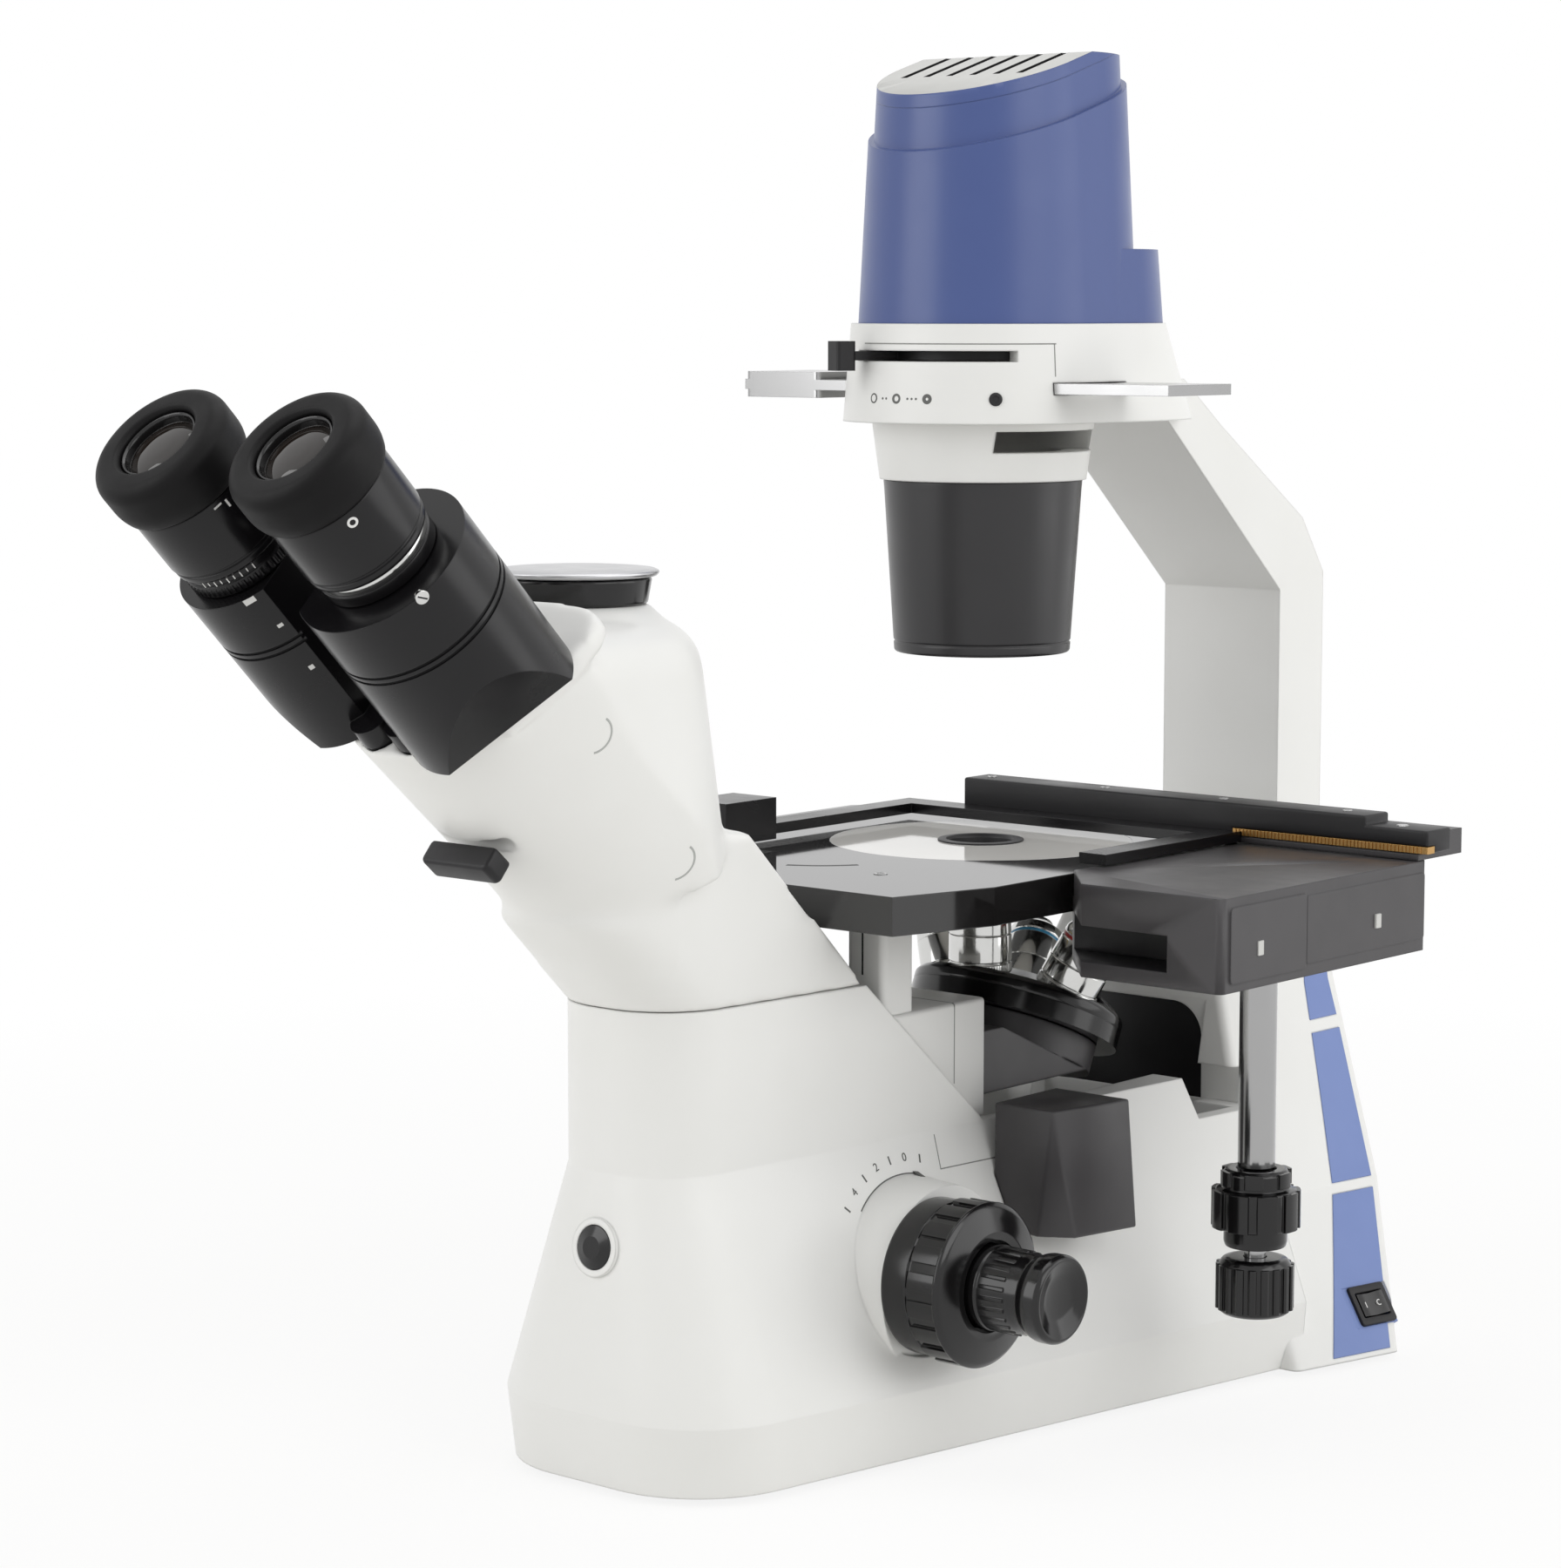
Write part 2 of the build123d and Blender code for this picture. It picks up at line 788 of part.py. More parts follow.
def filter_slider():
    reach = slider_right_x + slider_lean
    facet = plan_prism(
        ((reach - slider_facet, slider_front_y), (reach, slider_front_y), (reach, slider_front_y + slider_facet)),
        slider_bottom_z, slider_top_z)
    tray = block(slider_left_x, slider_grip_x, tray_front_y, tray_rear_y, tray_bottom_z, tray_top_z)
    pitch = (bay_half - slider_left_x) / tray_windows
    middle_y = (tray_front_y + tray_rear_y) / 2
    radius = (tray_rear_y - tray_front_y) / 2 - tray_wall
    for index in range(tray_windows):
        x = slider_left_x + pitch * (index + 0.5)
        tray -= rod_z_between(radius, tray_bottom_z, tray_top_z, x, middle_y)
    return slider_grip() - facet + tray


# neck and head

def head_outline(z, inset=0.0):
    front_y = seat_point(head_seat_low)[0] - head_nose
    corner = head_front_half / 2
    share = (z - head_bottom_z) / (head_top_z - head_bottom_z)
    rear = head_rear_radius + share * (head_crown_radius - head_rear_radius)
    discs = [Pos(0, port_y) * Circle(rear - inset)]
    for side in (-1, 1):
        discs.append(Pos(side * (head_front_half - corner), front_y + corner) * Circle(corner - inset))
    return Pos(0, 0, z) * make_hull([disc.edges()[0] for disc in discs])


def head_column():
    sections = [head_outline(head_bottom_z)]
    for step in range(crown_steps + 1):
        turn = math.pi / 2 * step / crown_steps
        z = head_top_z - head_round * (1 - math.sin(turn))
        sections.append(head_outline(z, head_round * (1 - math.cos(turn))))
    return loft(sections, ruled=True)


def tube_plane(side):
    tilt = math.radians(tube_tilt)
    return Plane(
        origin=(side * eye_distance / 2, eye_y, eye_z), x_dir=(1, 0, 0),
        z_dir=(0, -math.cos(tilt), math.sin(tilt)))


def seat_point(rise):
    tilt = math.radians(tube_tilt)
    y = eye_y + seat_depth * math.cos(tilt) + rise * math.sin(tilt)
    z = eye_z - seat_depth * math.sin(tilt) + rise * math.cos(tilt)
    return (y, z)


def head_hull():
    low_y, low_z = seat_point(head_seat_low)
    along = Vector(0, low_y - head_chin_y, low_z - head_bottom_z)
    plane = Plane(origin=(0, head_chin_y, head_bottom_z), x_dir=(1, 0, 0), z_dir=along)
    keel = Pos(0, hull_deep) * Ellipse(hull_half, hull_deep)
    sides = Pos(0, 2 * hull_deep) * Rectangle(2 * hull_half, 2 * hull_deep)
    section = plane * (keel + sides)
    return extrude(section, amount=4 * hull_deep, both=True)


def head_solid():
    low = seat_point(head_seat_low)
    tilt = math.radians(tube_tilt)
    top_rise = (head_top_z - seat_point(0)[1]) / math.cos(tilt)
    rear_y = port_y + head_rear_radius
    cheek_z = head_bottom_z + (head_top_z - head_bottom_z) * 0.36
    with BuildSketch(Plane.YZ) as side:
        with BuildLine():
            Polyline(
                (head_chin_y, head_bottom_z), low, seat_point(top_rise),
                (rear_y, head_top_z), (rear_y, cheek_z))
            ThreePointArc(
                (rear_y, cheek_z), ((rear_y + head_chin_y) / 2, head_bottom_z + (cheek_z - head_bottom_z) * 0.22),
                (head_chin_y, head_bottom_z))
        make_face()
    slab = extrude(side.sketch, amount=head_front_half + wall, both=True)
    return slab & head_column() & head_hull()


def head_casting():
    flare = Solid.make_cone(port_foot_radius + port_flare, port_foot_radius, port_lift + edge_round)
    body = head_envelope + Pos(0, port_y, head_top_z - edge_round) * flare
    body -= rod_z_between(port_bore, head_top_z - 2 * head_round, head_top_z + port_lift, 0, port_y)
    for side in (-1, 1):
        spot = tube_plane(side) * Pos(-side * (eye_distance / 2 - pivot_half), -pivot_drop, 0)
        body -= spot * Pos(0, 0, -seat_depth - pivot_length / 2) * Cylinder(
            pivot_radius + shaft_gap, pivot_length + 2 * seat_gap)
    body -= head_plugs()
    place = selector_place()
    travel = selector_half / 2 + selector_travel + slide_gap
    body -= place * Pos(0, 0, -selector_stem / 2) * Box(
        2 * travel, selector_stem + 2 * slide_gap, selector_stem + 2 * slide_gap)
    return body


def selector_place():
    low_y, low_z = seat_point(head_seat_low)
    y = head_chin_y + selector_share * (low_y - head_chin_y)
    z = head_bottom_z + selector_share * (low_z - head_bottom_z)
    along = Vector(0, low_y - head_chin_y, low_z - head_bottom_z)
    return Plane(origin=(0, y, z), x_dir=(1, 0, 0), z_dir=along.cross(Vector(-1, 0, 0)))


def path_selector():
    grip = Box(2 * selector_half, selector_tall, selector_proud)
    grip = fillet(grip.edges().filter_by(Axis.Y), selector_proud / 4)
    stem = Box(selector_half, selector_stem, selector_stem)
    lift = Pos(0, 0, slide_gap + selector_proud / 2) * grip
    return selector_place() * (lift + Pos(0, 0, slide_gap - selector_stem / 2 + slide_gap) * stem)


def head_plugs():
    rods = [rod_x_between(plug_radius, x - plug_deep, head_front_half, y, z) for x, y, z in plug_spots]
    return both_sides(Part() + rods) & head_envelope


def neck_casting():
    foot = neck_block().faces().sort_by(Axis.Z)[-1]
    lean = math.radians(neck_lean)
    body = extrude(foot, amount=neck_reach, dir=(0, -math.cos(lean), math.sin(lean)))
    body -= block(-foot_rear_half, foot_rear_half, eye_y, head_chin_y, neck_chin_z, head_top_z)
    below = block(-foot_rear_half, foot_rear_half, eye_y, bay_rear_y, seam_z - wall, head_bottom_z - neck_trim)
    body = body & (head_hull() + below)
    return (body - head_envelope).solids().sort_by(SortBy.VOLUME)[-1]


# photo port

def port_ring():
    base = head_top_z + port_lift
    ring = Pos(0, port_y, base) * Solid.make_cone(port_foot_radius, port_radius, port_ring_tall)
    return ring - rod_z_between(port_bore, base, base + port_ring_tall, 0, port_y)


def port_cap():
    low = head_top_z + port_lift + port_ring_tall
    disc = rod_z_between(cap_radius, low, low + cap_thick, 0, port_y)
    disc = fillet(disc.edges().group_by(Axis.Z)[-1], cap_thick / 3)
    spigot = rod_z_between(port_bore - slide_gap, low - cap_spigot, low, 0, port_y)
    return disc + spigot


# binocular tubes

def tube_housing(side):
    radius = tube_radius if side > 0 else left_tube_radius
    body = Pos(0, 0, -(seat_depth + tube_top) / 2 + seat_gap / 2) * Cylinder(
        radius, seat_depth - tube_top - seat_gap)
    cut = radius - tube_flat
    body -= Pos(-side * (tube_flat + cut), 0, -seat_depth / 2) * Box(2 * cut, 2 * radius, seat_depth * 2)
    for step in (0, 1):
        at = groove_at + step * groove_gap
        ring = Cylinder(radius, groove_wide) - Cylinder(radius - groove_deep, groove_wide)
        body -= Pos(0, 0, -at) * ring
    rake = math.degrees(math.atan2(facet_depth, seat_depth - facet_start))
    size = 4 * radius
    wedge = Pos(radius, 0, -facet_start) * Rot(0, rake, 0) * Pos(size / 2, 0, 0) * Box(size, size, size)
    turn = facet_turn if side > 0 else 180 - facet_turn
    body -= Rot(0, 0, turn) * wedge
    body -= Pos(0, 0, -tube_top - ocular_deep / 2) * Cylinder(ocular_radius, ocular_deep)
    pivot = Pos(-side * (eye_distance / 2 - pivot_half), -pivot_drop, -seat_depth)
    flange = Pos(0, 0, seat_gap + flange_radius / 2) * Cylinder(flange_radius, flange_radius)
    stub = Pos(0, 0, -pivot_length / 2 + seat_gap) * Cylinder(pivot_radius, pivot_length)
    return tube_plane(side) * (body + pivot * (flange + stub))


def ocular(side):
    profile = (
        (0, -tube_top - ocular_deep + wall), (ocular_radius - shaft_gap, -tube_top - ocular_deep + wall),
        (ocular_radius - shaft_gap, -ring_high), (barrel_radius - barrel_step / 2, -ring_high),
        (barrel_radius, -ring_high + barrel_step), (barrel_radius, -eyecup_low),
        (barrel_radius - barrel_step, -eyecup_low), (barrel_radius - barrel_step, -barrel_top),
        (lens_radius, -barrel_top),
        (lens_radius, -barrel_top - lens_thick), (0, -barrel_top - lens_thick),
    )
    return tube_plane(side) * turned(profile)


def tube_ring(side):
    top = ring_high + slide_gap
    ring = Cylinder(ring_radius, ring_low - top) - Cylinder(ocular_radius, ring_low)
    return tube_plane(side) * Pos(0, 0, -(ring_low + top) / 2) * ring


def eyecup(side):
    inner = barrel_radius - barrel_step
    profile = (
        (inner, -eyecup_low), (eyecup_radius - lip_round / 3, -eyecup_low),
        (eyecup_radius, -eyecup_low + lip_round), (eyecup_radius, -eyecup_high - lip_round),
        (eyecup_radius - lip_round, -eyecup_high), (eyecup_hole + lip_round, -eyecup_high),
        (eyecup_hole, -barrel_top), (inner, -barrel_top),
    )
    return tube_plane(side) * turned(profile)


def eye_lens(side):
    dome = lens_thick / 3
    profile = (
        (0, -barrel_top - lens_thick), (lens_radius, -barrel_top - lens_thick),
        (lens_radius, -barrel_top - dome), (lens_radius / 2, -barrel_top - dome / 4), (0, -barrel_top),
    )
    return tube_plane(side) * turned(profile)


# stage

def stage_outline():
    return (
        (stage_left_x + stage_chamfer_x, stage_front_y), (stage_right_x - stage_chamfer_x, stage_front_y),
        (stage_right_x, stage_front_y + stage_chamfer_y), (stage_right_x, box_rear_y),
        (tower_front_half[-1], stage_rear_y), (-tower_front_half[-1], stage_rear_y),
        (stage_left_x, box_rear_y), (stage_left_x, stage_front_y + stage_chamfer_y),
    )


def stage_plate():
    plate = plan_prism(stage_outline(), stage_top_z - stage_thick, stage_top_z)
    plate -= rod_z_between(insert_radius - insert_ledge, stage_top_z - stage_thick, stage_top_z)
    return plate - rod_z_between(insert_radius, stage_top_z - insert_thick, stage_top_z)


def stage_insert():
    disc = rod_z_between(insert_radius - shaft_gap, stage_top_z - insert_thick, stage_top_z)
    return disc - rod_z_between(insert_hole, stage_top_z - insert_thick, stage_top_z)


def stage_posts():
    post = block(
        stage_post_x - stage_post_half, stage_post_x + stage_post_half, stage_post_y - stage_post_half,
        stage_post_y + stage_post_half, housing_top_z, stage_top_z - stage_thick)
    return both_sides(fillet(post.edges().filter_by(Axis.Z), stage_post_half / 3)) - base_solid


def drive_box():
    outline = (
        (stage_right_x, box_front_y + box_cut_y), (stage_right_x + box_cut_x, box_front_y),
        (box_right_x, box_front_y), (box_right_x, box_rear_y), (stage_right_x, box_rear_y),
    )
    body = plan_prism(outline, box_bottom_z, box_top_z)
    body = fillet(body.edges().filter_by(Axis.Z).group_by(Axis.X)[-1], edge_round)
    return body - block(
        stage_right_x, stage_right_x + key_slot, slot_front_y, box_rear_y, box_top_z - key_deep, box_top_z)


def drive_rod():
    sleeve = rod_z_between(rod_radius, y_knob_top_z + slide_gap, box_bottom_z, rod_x, rod_y)
    spindle = rod_z_between(
        rod_radius / 2, x_knob_bottom_z + wall, y_knob_top_z + slide_gap, rod_x, rod_y)
    return sleeve + spindle


def stage_knob(radius, bottom_z, top_z, collar_radius=0.0, collar_tall=0.0):
    length = top_z - collar_tall - bottom_z
    knob = Pos(0, 0, bottom_z + length / 2) * ribbed(radius, length, stage_knob_ribs)
    if collar_tall:
        knob += rod_z_between(collar_radius, top_z - collar_tall, top_z)
    return Pos(rod_x, rod_y, 0) * knob - rod_z_between(
        rod_radius / 2 + shaft_gap, bottom_z + wall / 2, top_z, rod_x, rod_y)


def y_knob():
    knob = stage_knob(y_knob_radius, y_knob_bottom_z, y_knob_top_z, y_collar_radius, y_collar_tall)
    return knob - rod_z_between(rod_radius / 2 + shaft_gap, y_knob_bottom_z, y_knob_top_z, rod_x, rod_y)


def x_knob():
    return stage_knob(x_knob_radius, x_knob_bottom_z, x_knob_top_z)


def carriage_top_height():
    return box_top_z + slide_gap + carriage_thick


def y_carriage():
    low = box_top_z + slide_gap
    left = stage_right_x + slide_gap
    plate = block(left, box_right_x, bar_front_y + slide_gap, carriage_rear_y, low, carriage_top_height())
    right = stage_right_x + key_slot - slide_gap
    key = block(left, right, key_front_y, key_rear_y, box_top_z - key_deep + slide_gap, box_top_z)
    link = block(left, right, bar_front_y + slide_gap, key_rear_y, box_top_z, low)
    guide = block(
        guide_left_x, box_right_x, bar_rear_y + slide_gap, carriage_rear_y, low,
        carriage_top_height() + guide_tall)
    return plate + key + link + guide


def bar_bottom_z():
    return carriage_top_height() + slide_gap


def x_bar():
    low = bar_bottom_z()
    bar = block(bar_left_x, bar_right_x, bar_front_y, bar_rear_y, low, bar_top_z)
    end = block(bar_right_x, bar_end_x, bar_front_y, bar_rear_y, low, bar_end_top_z)
    return bar + end - block(rack_left_x, bar_end_x, bar_front_y, bar_front_y + rack_deep, low, low + rack_tall)


def x_rack():
    low = bar_bottom_z()
    return block(rack_left_x, bar_end_x, bar_front_y, bar_front_y + rack_deep, low, low + rack_tall)


def specimen_holder():
    low = box_top_z + slide_gap + holder_lift
    high = low + arm_tall
    rail_front_y = bar_front_y - rail_wide
    frame = block(holder_left_x, holder_right_x, rail_front_y, bar_front_y, low, high)
    frame += block(holder_left_x, holder_left_x + arm_wide, left_arm_y, rail_front_y, low, high)
    frame += block(holder_right_x - arm_wide, holder_right_x, right_arm_y, rail_front_y, low, high)
    return frame + block(
        holder_left_x, holder_left_x + clip_wide, clip_front_y, clip_rear_y, low, low + clip_tall)


# arm, carrier, condenser and lamp

def stadium(radius, run, z):
    return Pos(0, run / 2, z) * Rot(0, 0, 90) * SlotCenterToCenter(run, 2 * radius)


def carrier_envelope():
    return loft([
        stadium(carrier_bottom_radius, carrier_bottom_run, carrier_bottom_z),
        stadium(carrier_top_radius, carrier_top_run, carrier_top_z)])


def lever_slot():
    ring = Cylinder(lever_outer, lever_slot_tall) - Cylinder(lever_inner - slide_gap, lever_slot_tall)
    reach = 2 * lever_outer
    middle = (lever_from + lever_to) / 2
    half = (lever_to - lever_from) / 2
    spread = reach * math.tan(math.radians(half))
    sector = extrude(
        Polygon((0, 0), (reach, spread), (reach, -spread), align=None), amount=lever_slot_tall, both=True)
    hub_room = Cylinder(lever_hub + slide_gap, lever_slot_tall)
    return Pos(0, 0, lever_z) * (Rot(0, 0, middle) * (ring & sector) + hub_room)


def lamp_carrier():
    body = carrier_envelope()
    body -= rod_z_between(carrier_bore, carrier_bottom_z, carrier_top_z)
    body -= lever_slot()
    body -= block(
        -2 * carrier_bottom_radius, 2 * carrier_bottom_radius, -phase_half_y - slide_gap, phase_half_y + slide_gap,
        phase_z - slide_gap, phase_z + phase_thick + slide_gap)
    body -= block(
        -2 * carrier_bottom_radius, 0, -phase_half_y - slide_gap, phase_half_y + slide_gap,
        phase_z - slide_gap, phase_z + slide_gap)
    return body


def aperture_lever():
    hub = Cylinder(lever_hub, lever_thick) - Cylinder(lever_inner, lever_thick)
    stem = Pos((lever_hub + lever_outer) / 2 - 1, 0, 0) * Box(
        lever_outer - lever_hub + 2, lever_knob_wide / 2, lever_thick)
    knob = Pos(lever_outer, 0, 0) * Box(lever_knob_deep, lever_knob_wide, lever_knob_tall)
    knob = fillet(knob.edges().filter_by(Axis.Z), lever_knob_deep / 5)
    return Pos(0, 0, lever_z) * Rot(0, 0, lever_at) * (hub + stem + knob)


def phase_slider():
    plate = block(phase_left_x, phase_right_x, -phase_half_y, phase_half_y, phase_z, phase_z + phase_thick)
    for step in (-1, 0, 1):
        plate -= rod_z_between(phase_hole, phase_z, phase_z + phase_thick, step * phase_pitch, 0)
    grip = block(
        phase_left_x, phase_left_x + phase_grip_length, -phase_half_y, phase_half_y,
        phase_z + phase_thick / 2 - phase_grip_tall / 2, phase_z + phase_thick / 2 + phase_grip_tall / 2)
    return plate + fillet(grip.edges().filter_by(Axis.Z), wall / 2)


def carrier_ring():
    shell = Pos(0, 0, ring_bottom_z) * Solid.make_cone(
        ring_bottom_radius, ring_top_radius, carrier_bottom_z - ring_bottom_z)
    ring = shell - rod_z_between(carrier_bore, ring_bottom_z, carrier_bottom_z)
    return ring - block(
        0, 2 * ring_top_radius, -carrier_bore, carrier_bore, tray_slot_top_z - tray_slot_tall, tray_slot_top_z)


def condenser_cone():
    outer = Pos(0, 0, cone_bottom_z) * Solid.make_cone(
        cone_bottom_radius, cone_top_radius, ring_bottom_z - cone_bottom_z)
    inner = Pos(0, 0, cone_bottom_z + condenser_lens_thick) * Solid.make_cone(
        cone_bottom_radius - cone_wall, carrier_bore, ring_bottom_z - cone_bottom_z - condenser_lens_thick)
    return outer - inner - rod_z_between(condenser_lens_radius, cone_bottom_z, cone_bottom_z + condenser_lens_thick)


def condenser_lens():
    dome = condenser_lens_thick / 2
    profile = (
        (0, cone_bottom_z + dome / 4), (condenser_lens_radius, cone_bottom_z + dome / 4),
        (condenser_lens_radius, cone_bottom_z + dome), (condenser_lens_radius / 2, cone_bottom_z + 1.8 * dome),
        (0, cone_bottom_z + 2 * dome),
    )
    return turned(profile)


def column_arm():
    profile = (
        (column_front_y, tower_z[-1]), (column_front_y, column_crease_z), arm_front,
        (arm_front[0] / 2, carrier_bottom_z), (arm_front[0] / 2, arm_rear[3][1]),
        *reversed(arm_rear), (tower_rear_y, tower_z[-1]),
    )
    body = side_prism(profile, column_half) - carrier_envelope()
    return body.solids().sort_by(SortBy.VOLUME)[-1]


def lamp_form(grow):
    return loft([
        stadium(lamp_bottom_radius + grow, lamp_run, carrier_top_z),
        stadium(lamp_top_radius + grow, lamp_run, lamp_top_z)])


def below_slope(front_z):
    reach = 4 * lamp_bottom_radius
    rise = math.tan(math.radians(lamp_slope))
    middle_z = front_z + rise * (reach + lamp_top_radius)
    low_z = front_z - rise * (reach - lamp_top_radius)
    return side_prism(((-reach, 0), (reach, 0), (reach, middle_z), (-reach, low_z)), reach)


def lamp_housing():
    step_z = carrier_top_z + lamp_step_share * (lamp_top_z - carrier_top_z)
    step = loft([
        stadium(lamp_bottom_radius, lamp_step_run, carrier_top_z),
        stadium(lamp_bottom_radius - lamp_step_in, lamp_step_run, step_z)])
    outer = lamp_form(0) & below_slope(lamp_top_z - step_drop)
    outer += lamp_form(-lamp_step_in) & below_slope(lamp_top_z - lid_drop)
    hollow = lamp_form(-lamp_step_in - lamp_wall)
    return outer + step - hollow


def lamp_lid():
    plate = lamp_form(-lamp_step_in) & below_slope(lamp_top_z - lid_drop + lid_thick)
    plate -= below_slope(lamp_top_z - lid_drop)
    for index in range(lid_slots):
        x = (index - (lid_slots - 1) / 2) * lid_slot_pitch
        plate -= block(
            x - lid_slot_wide / 2, x + lid_slot_wide / 2, -lid_slot_long / 2, lid_slot_long / 2,
            carrier_top_z, lamp_top_z)
    return plate


def led_module():
    base_z = carrier_top_z
    plate = rod_z_between(led_base_radius, base_z, base_z + led_base_thick)
    plate -= rod_z_between(led_lens_radius, base_z, base_z + led_base_thick)
    bridge = rod_z_between(led_base_radius, base_z + led_base_thick, base_z + 2 * led_base_thick)
    fins = []
    for index in range(led_fins):
        x = (index - (led_fins - 1) / 2) * led_lens_radius / 2
        half_y = math.sqrt(led_base_radius ** 2 - x ** 2) * 0.9
        fins.append(block(
            x - led_fin_thick / 2, x + led_fin_thick / 2, -half_y, half_y, base_z + 2 * led_base_thick,
            base_z + 2 * led_base_thick + led_fin_tall))
    return plate + bridge + fins


base_solid = base_casting()
head_envelope = head_solid()
neck_body = neck_casting()

nodes = {
    "base_casting": base_with_recesses(base_solid),
    "base_plate": base_plate(),
    "rubber_feet": rubber_feet(),
    "rear_inlays": rear_inlays(),
    "switch_frame": switch_frame(),
    "power_rocker": power_rocker(),
    "mains_inlet": mains_inlet(),
    "front_button": front_button(),
    "relay_mirror": relay_mirror(),
    "coarse_knobs": coarse_knobs(),
    "fine_knobs": fine_knobs(),
    "focus_housing": focus_housing(),
    "focus_rail": focus_rail(),
    "focus_carriage": focus_carriage(),
    "bay_panel": bay_panel(),
    "turret": turret(),
    "turret_plug": turret_plug(),
    "filter_slider": filter_slider(),
    "neck_casting": neck_body,
    "head_casting": head_casting(),
    "head_plugs": head_plugs(),
    "path_selector": path_selector(),
    "port_ring": port_ring(),
    "port_cap": port_cap(),
    "stage_posts": stage_posts(),
    "stage_plate": stage_plate(),
    "stage_insert": stage_insert(),
    "drive_box": drive_box(),
    "drive_rod": drive_rod(),
    "y_knob": y_knob(),
    "x_knob": x_knob(),
    "y_carriage": y_carriage(),
    "x_bar": x_bar(),
    "x_rack": x_rack(),
    "specimen_holder": specimen_holder(),
    "column_arm": column_arm(),
    "lamp_carrier": lamp_carrier(),
    "aperture_lever": aperture_lever(),
    "phase_slider": phase_slider(),
    "carrier_ring": carrier_ring(),
    "condenser_cone": condenser_cone(),
    "condenser_lens": condenser_lens(),
    "lamp_housing": lamp_housing(),
    "lamp_lid": lamp_lid(),
    "led_module": led_module(),
}
for index, name in enumerate(objective_names):
    nodes["objective_" + name] = objective(index)
for side, name in ((-1, "left"), (1, "right")):
    nodes[name + "_tube"] = tube_housing(side)
    nodes[name + "_ocular"] = ocular(side)
    nodes[name + "_eyecup"] = eyecup(side)
    nodes[name + "_eye_lens"] = eye_lens(side)
nodes["diopter_ring"] = tube_ring(-1)
nodes["tube_ring"] = tube_ring(1)

# the object stands with the middle of its outline over the origin
outline = Compound(children=[Part() + shape for shape in nodes.values()]).bounding_box()
middle = Pos(-(outline.min.X + outline.max.X) / 2, -(outline.min.Y + outline.max.Y) / 2, 0)

os.makedirs("parts", exist_ok=True)
for name, shape in nodes.items():
    export_step(middle * shape, "parts/" + name + ".step")
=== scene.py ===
import bmesh
import bpy
import json
import math
from mathutils import Matrix, Vector
from mathutils.bvhtree import BVHTree


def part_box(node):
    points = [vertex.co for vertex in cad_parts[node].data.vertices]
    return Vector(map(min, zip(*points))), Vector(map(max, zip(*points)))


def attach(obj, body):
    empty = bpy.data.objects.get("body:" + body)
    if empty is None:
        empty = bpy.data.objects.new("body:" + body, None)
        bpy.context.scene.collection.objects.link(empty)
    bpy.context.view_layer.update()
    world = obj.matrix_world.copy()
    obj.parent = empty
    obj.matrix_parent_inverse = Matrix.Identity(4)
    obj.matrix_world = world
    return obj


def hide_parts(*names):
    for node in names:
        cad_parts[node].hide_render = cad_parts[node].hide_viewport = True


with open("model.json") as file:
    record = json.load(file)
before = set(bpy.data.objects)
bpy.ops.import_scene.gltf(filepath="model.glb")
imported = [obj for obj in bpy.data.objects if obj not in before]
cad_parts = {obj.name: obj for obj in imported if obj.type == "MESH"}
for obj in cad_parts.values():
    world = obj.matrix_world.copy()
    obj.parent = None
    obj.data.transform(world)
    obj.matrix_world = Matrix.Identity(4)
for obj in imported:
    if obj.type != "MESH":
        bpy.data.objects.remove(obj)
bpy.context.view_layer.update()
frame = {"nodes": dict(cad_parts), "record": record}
nodes = frame["nodes"]
bodyOf = {node: body for body, members in frame["record"]["behaviour"]["bodies"].items() for node in members}
mm = 0.001
# pieces are drawn in millimetres about the optical axis, which is the middle of the condenser
coneLow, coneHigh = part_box("condenser_cone")
axis = Vector(((coneLow.x + coneHigh.x) / 2, (coneLow.y + coneHigh.y) / 2, 0))
toFrame = Matrix.Translation(axis) @ Matrix.Scale(mm, 4)
print("stage: frame loaded,", len(nodes), "nodes")


# camera, floor and light

def linked(name, data):
    thing = bpy.data.objects.new(name, data)
    bpy.context.scene.collection.objects.link(thing)
    return thing


camera = {"place": (0.9515, -1.2295, 0.4138), "azimuth": 40.588, "down": 6.774, "lens": 93.07, "sensor": 36}
view = bpy.data.cameras.new("view")
view.lens = camera["lens"]
view.sensor_width = camera["sensor"]
viewObject = linked("view", view)
viewObject.location = axis + Vector(camera["place"])
viewObject.rotation_euler = (math.radians(90 - camera["down"]), 0, math.radians(camera["azimuth"]))
bpy.context.scene.camera = viewObject
bpy.context.scene.view_settings.view_transform = "Standard"


def linearColour(hexText):
    parts = [int(hexText[i:i + 2], 16) / 255 for i in (1, 3, 5)]
    return [c / 12.92 if c <= 0.04045 else ((c + 0.055) / 1.055) ** 2.4 for c in parts] + [1]


def addNode(tree, kind, settings=None, links=()):
    node = tree.nodes.new(kind)
    for name, value in (settings or {}).items():
        if isinstance(name, str) and hasattr(node, name):
            setattr(node, name, value)
        else:
            node.inputs[name].default_value = value
    for source, target in links:
        tree.links.new(source, node.inputs[target])
    return node


def seenRays(tree):
    # 1 for what the eye meets straight, in a reflection or through glass, and 0 for what only lights
    rays = addNode(tree, "ShaderNodeLightPath").outputs
    seen = rays["Is Camera Ray"]
    for kind in ("Is Glossy Ray", "Is Transmission Ray"):
        seen = addNode(tree, "ShaderNodeMath", {"operation": "MAXIMUM"}, [(seen, 0), (rays[kind], 1)]).outputs[0]
    return seen


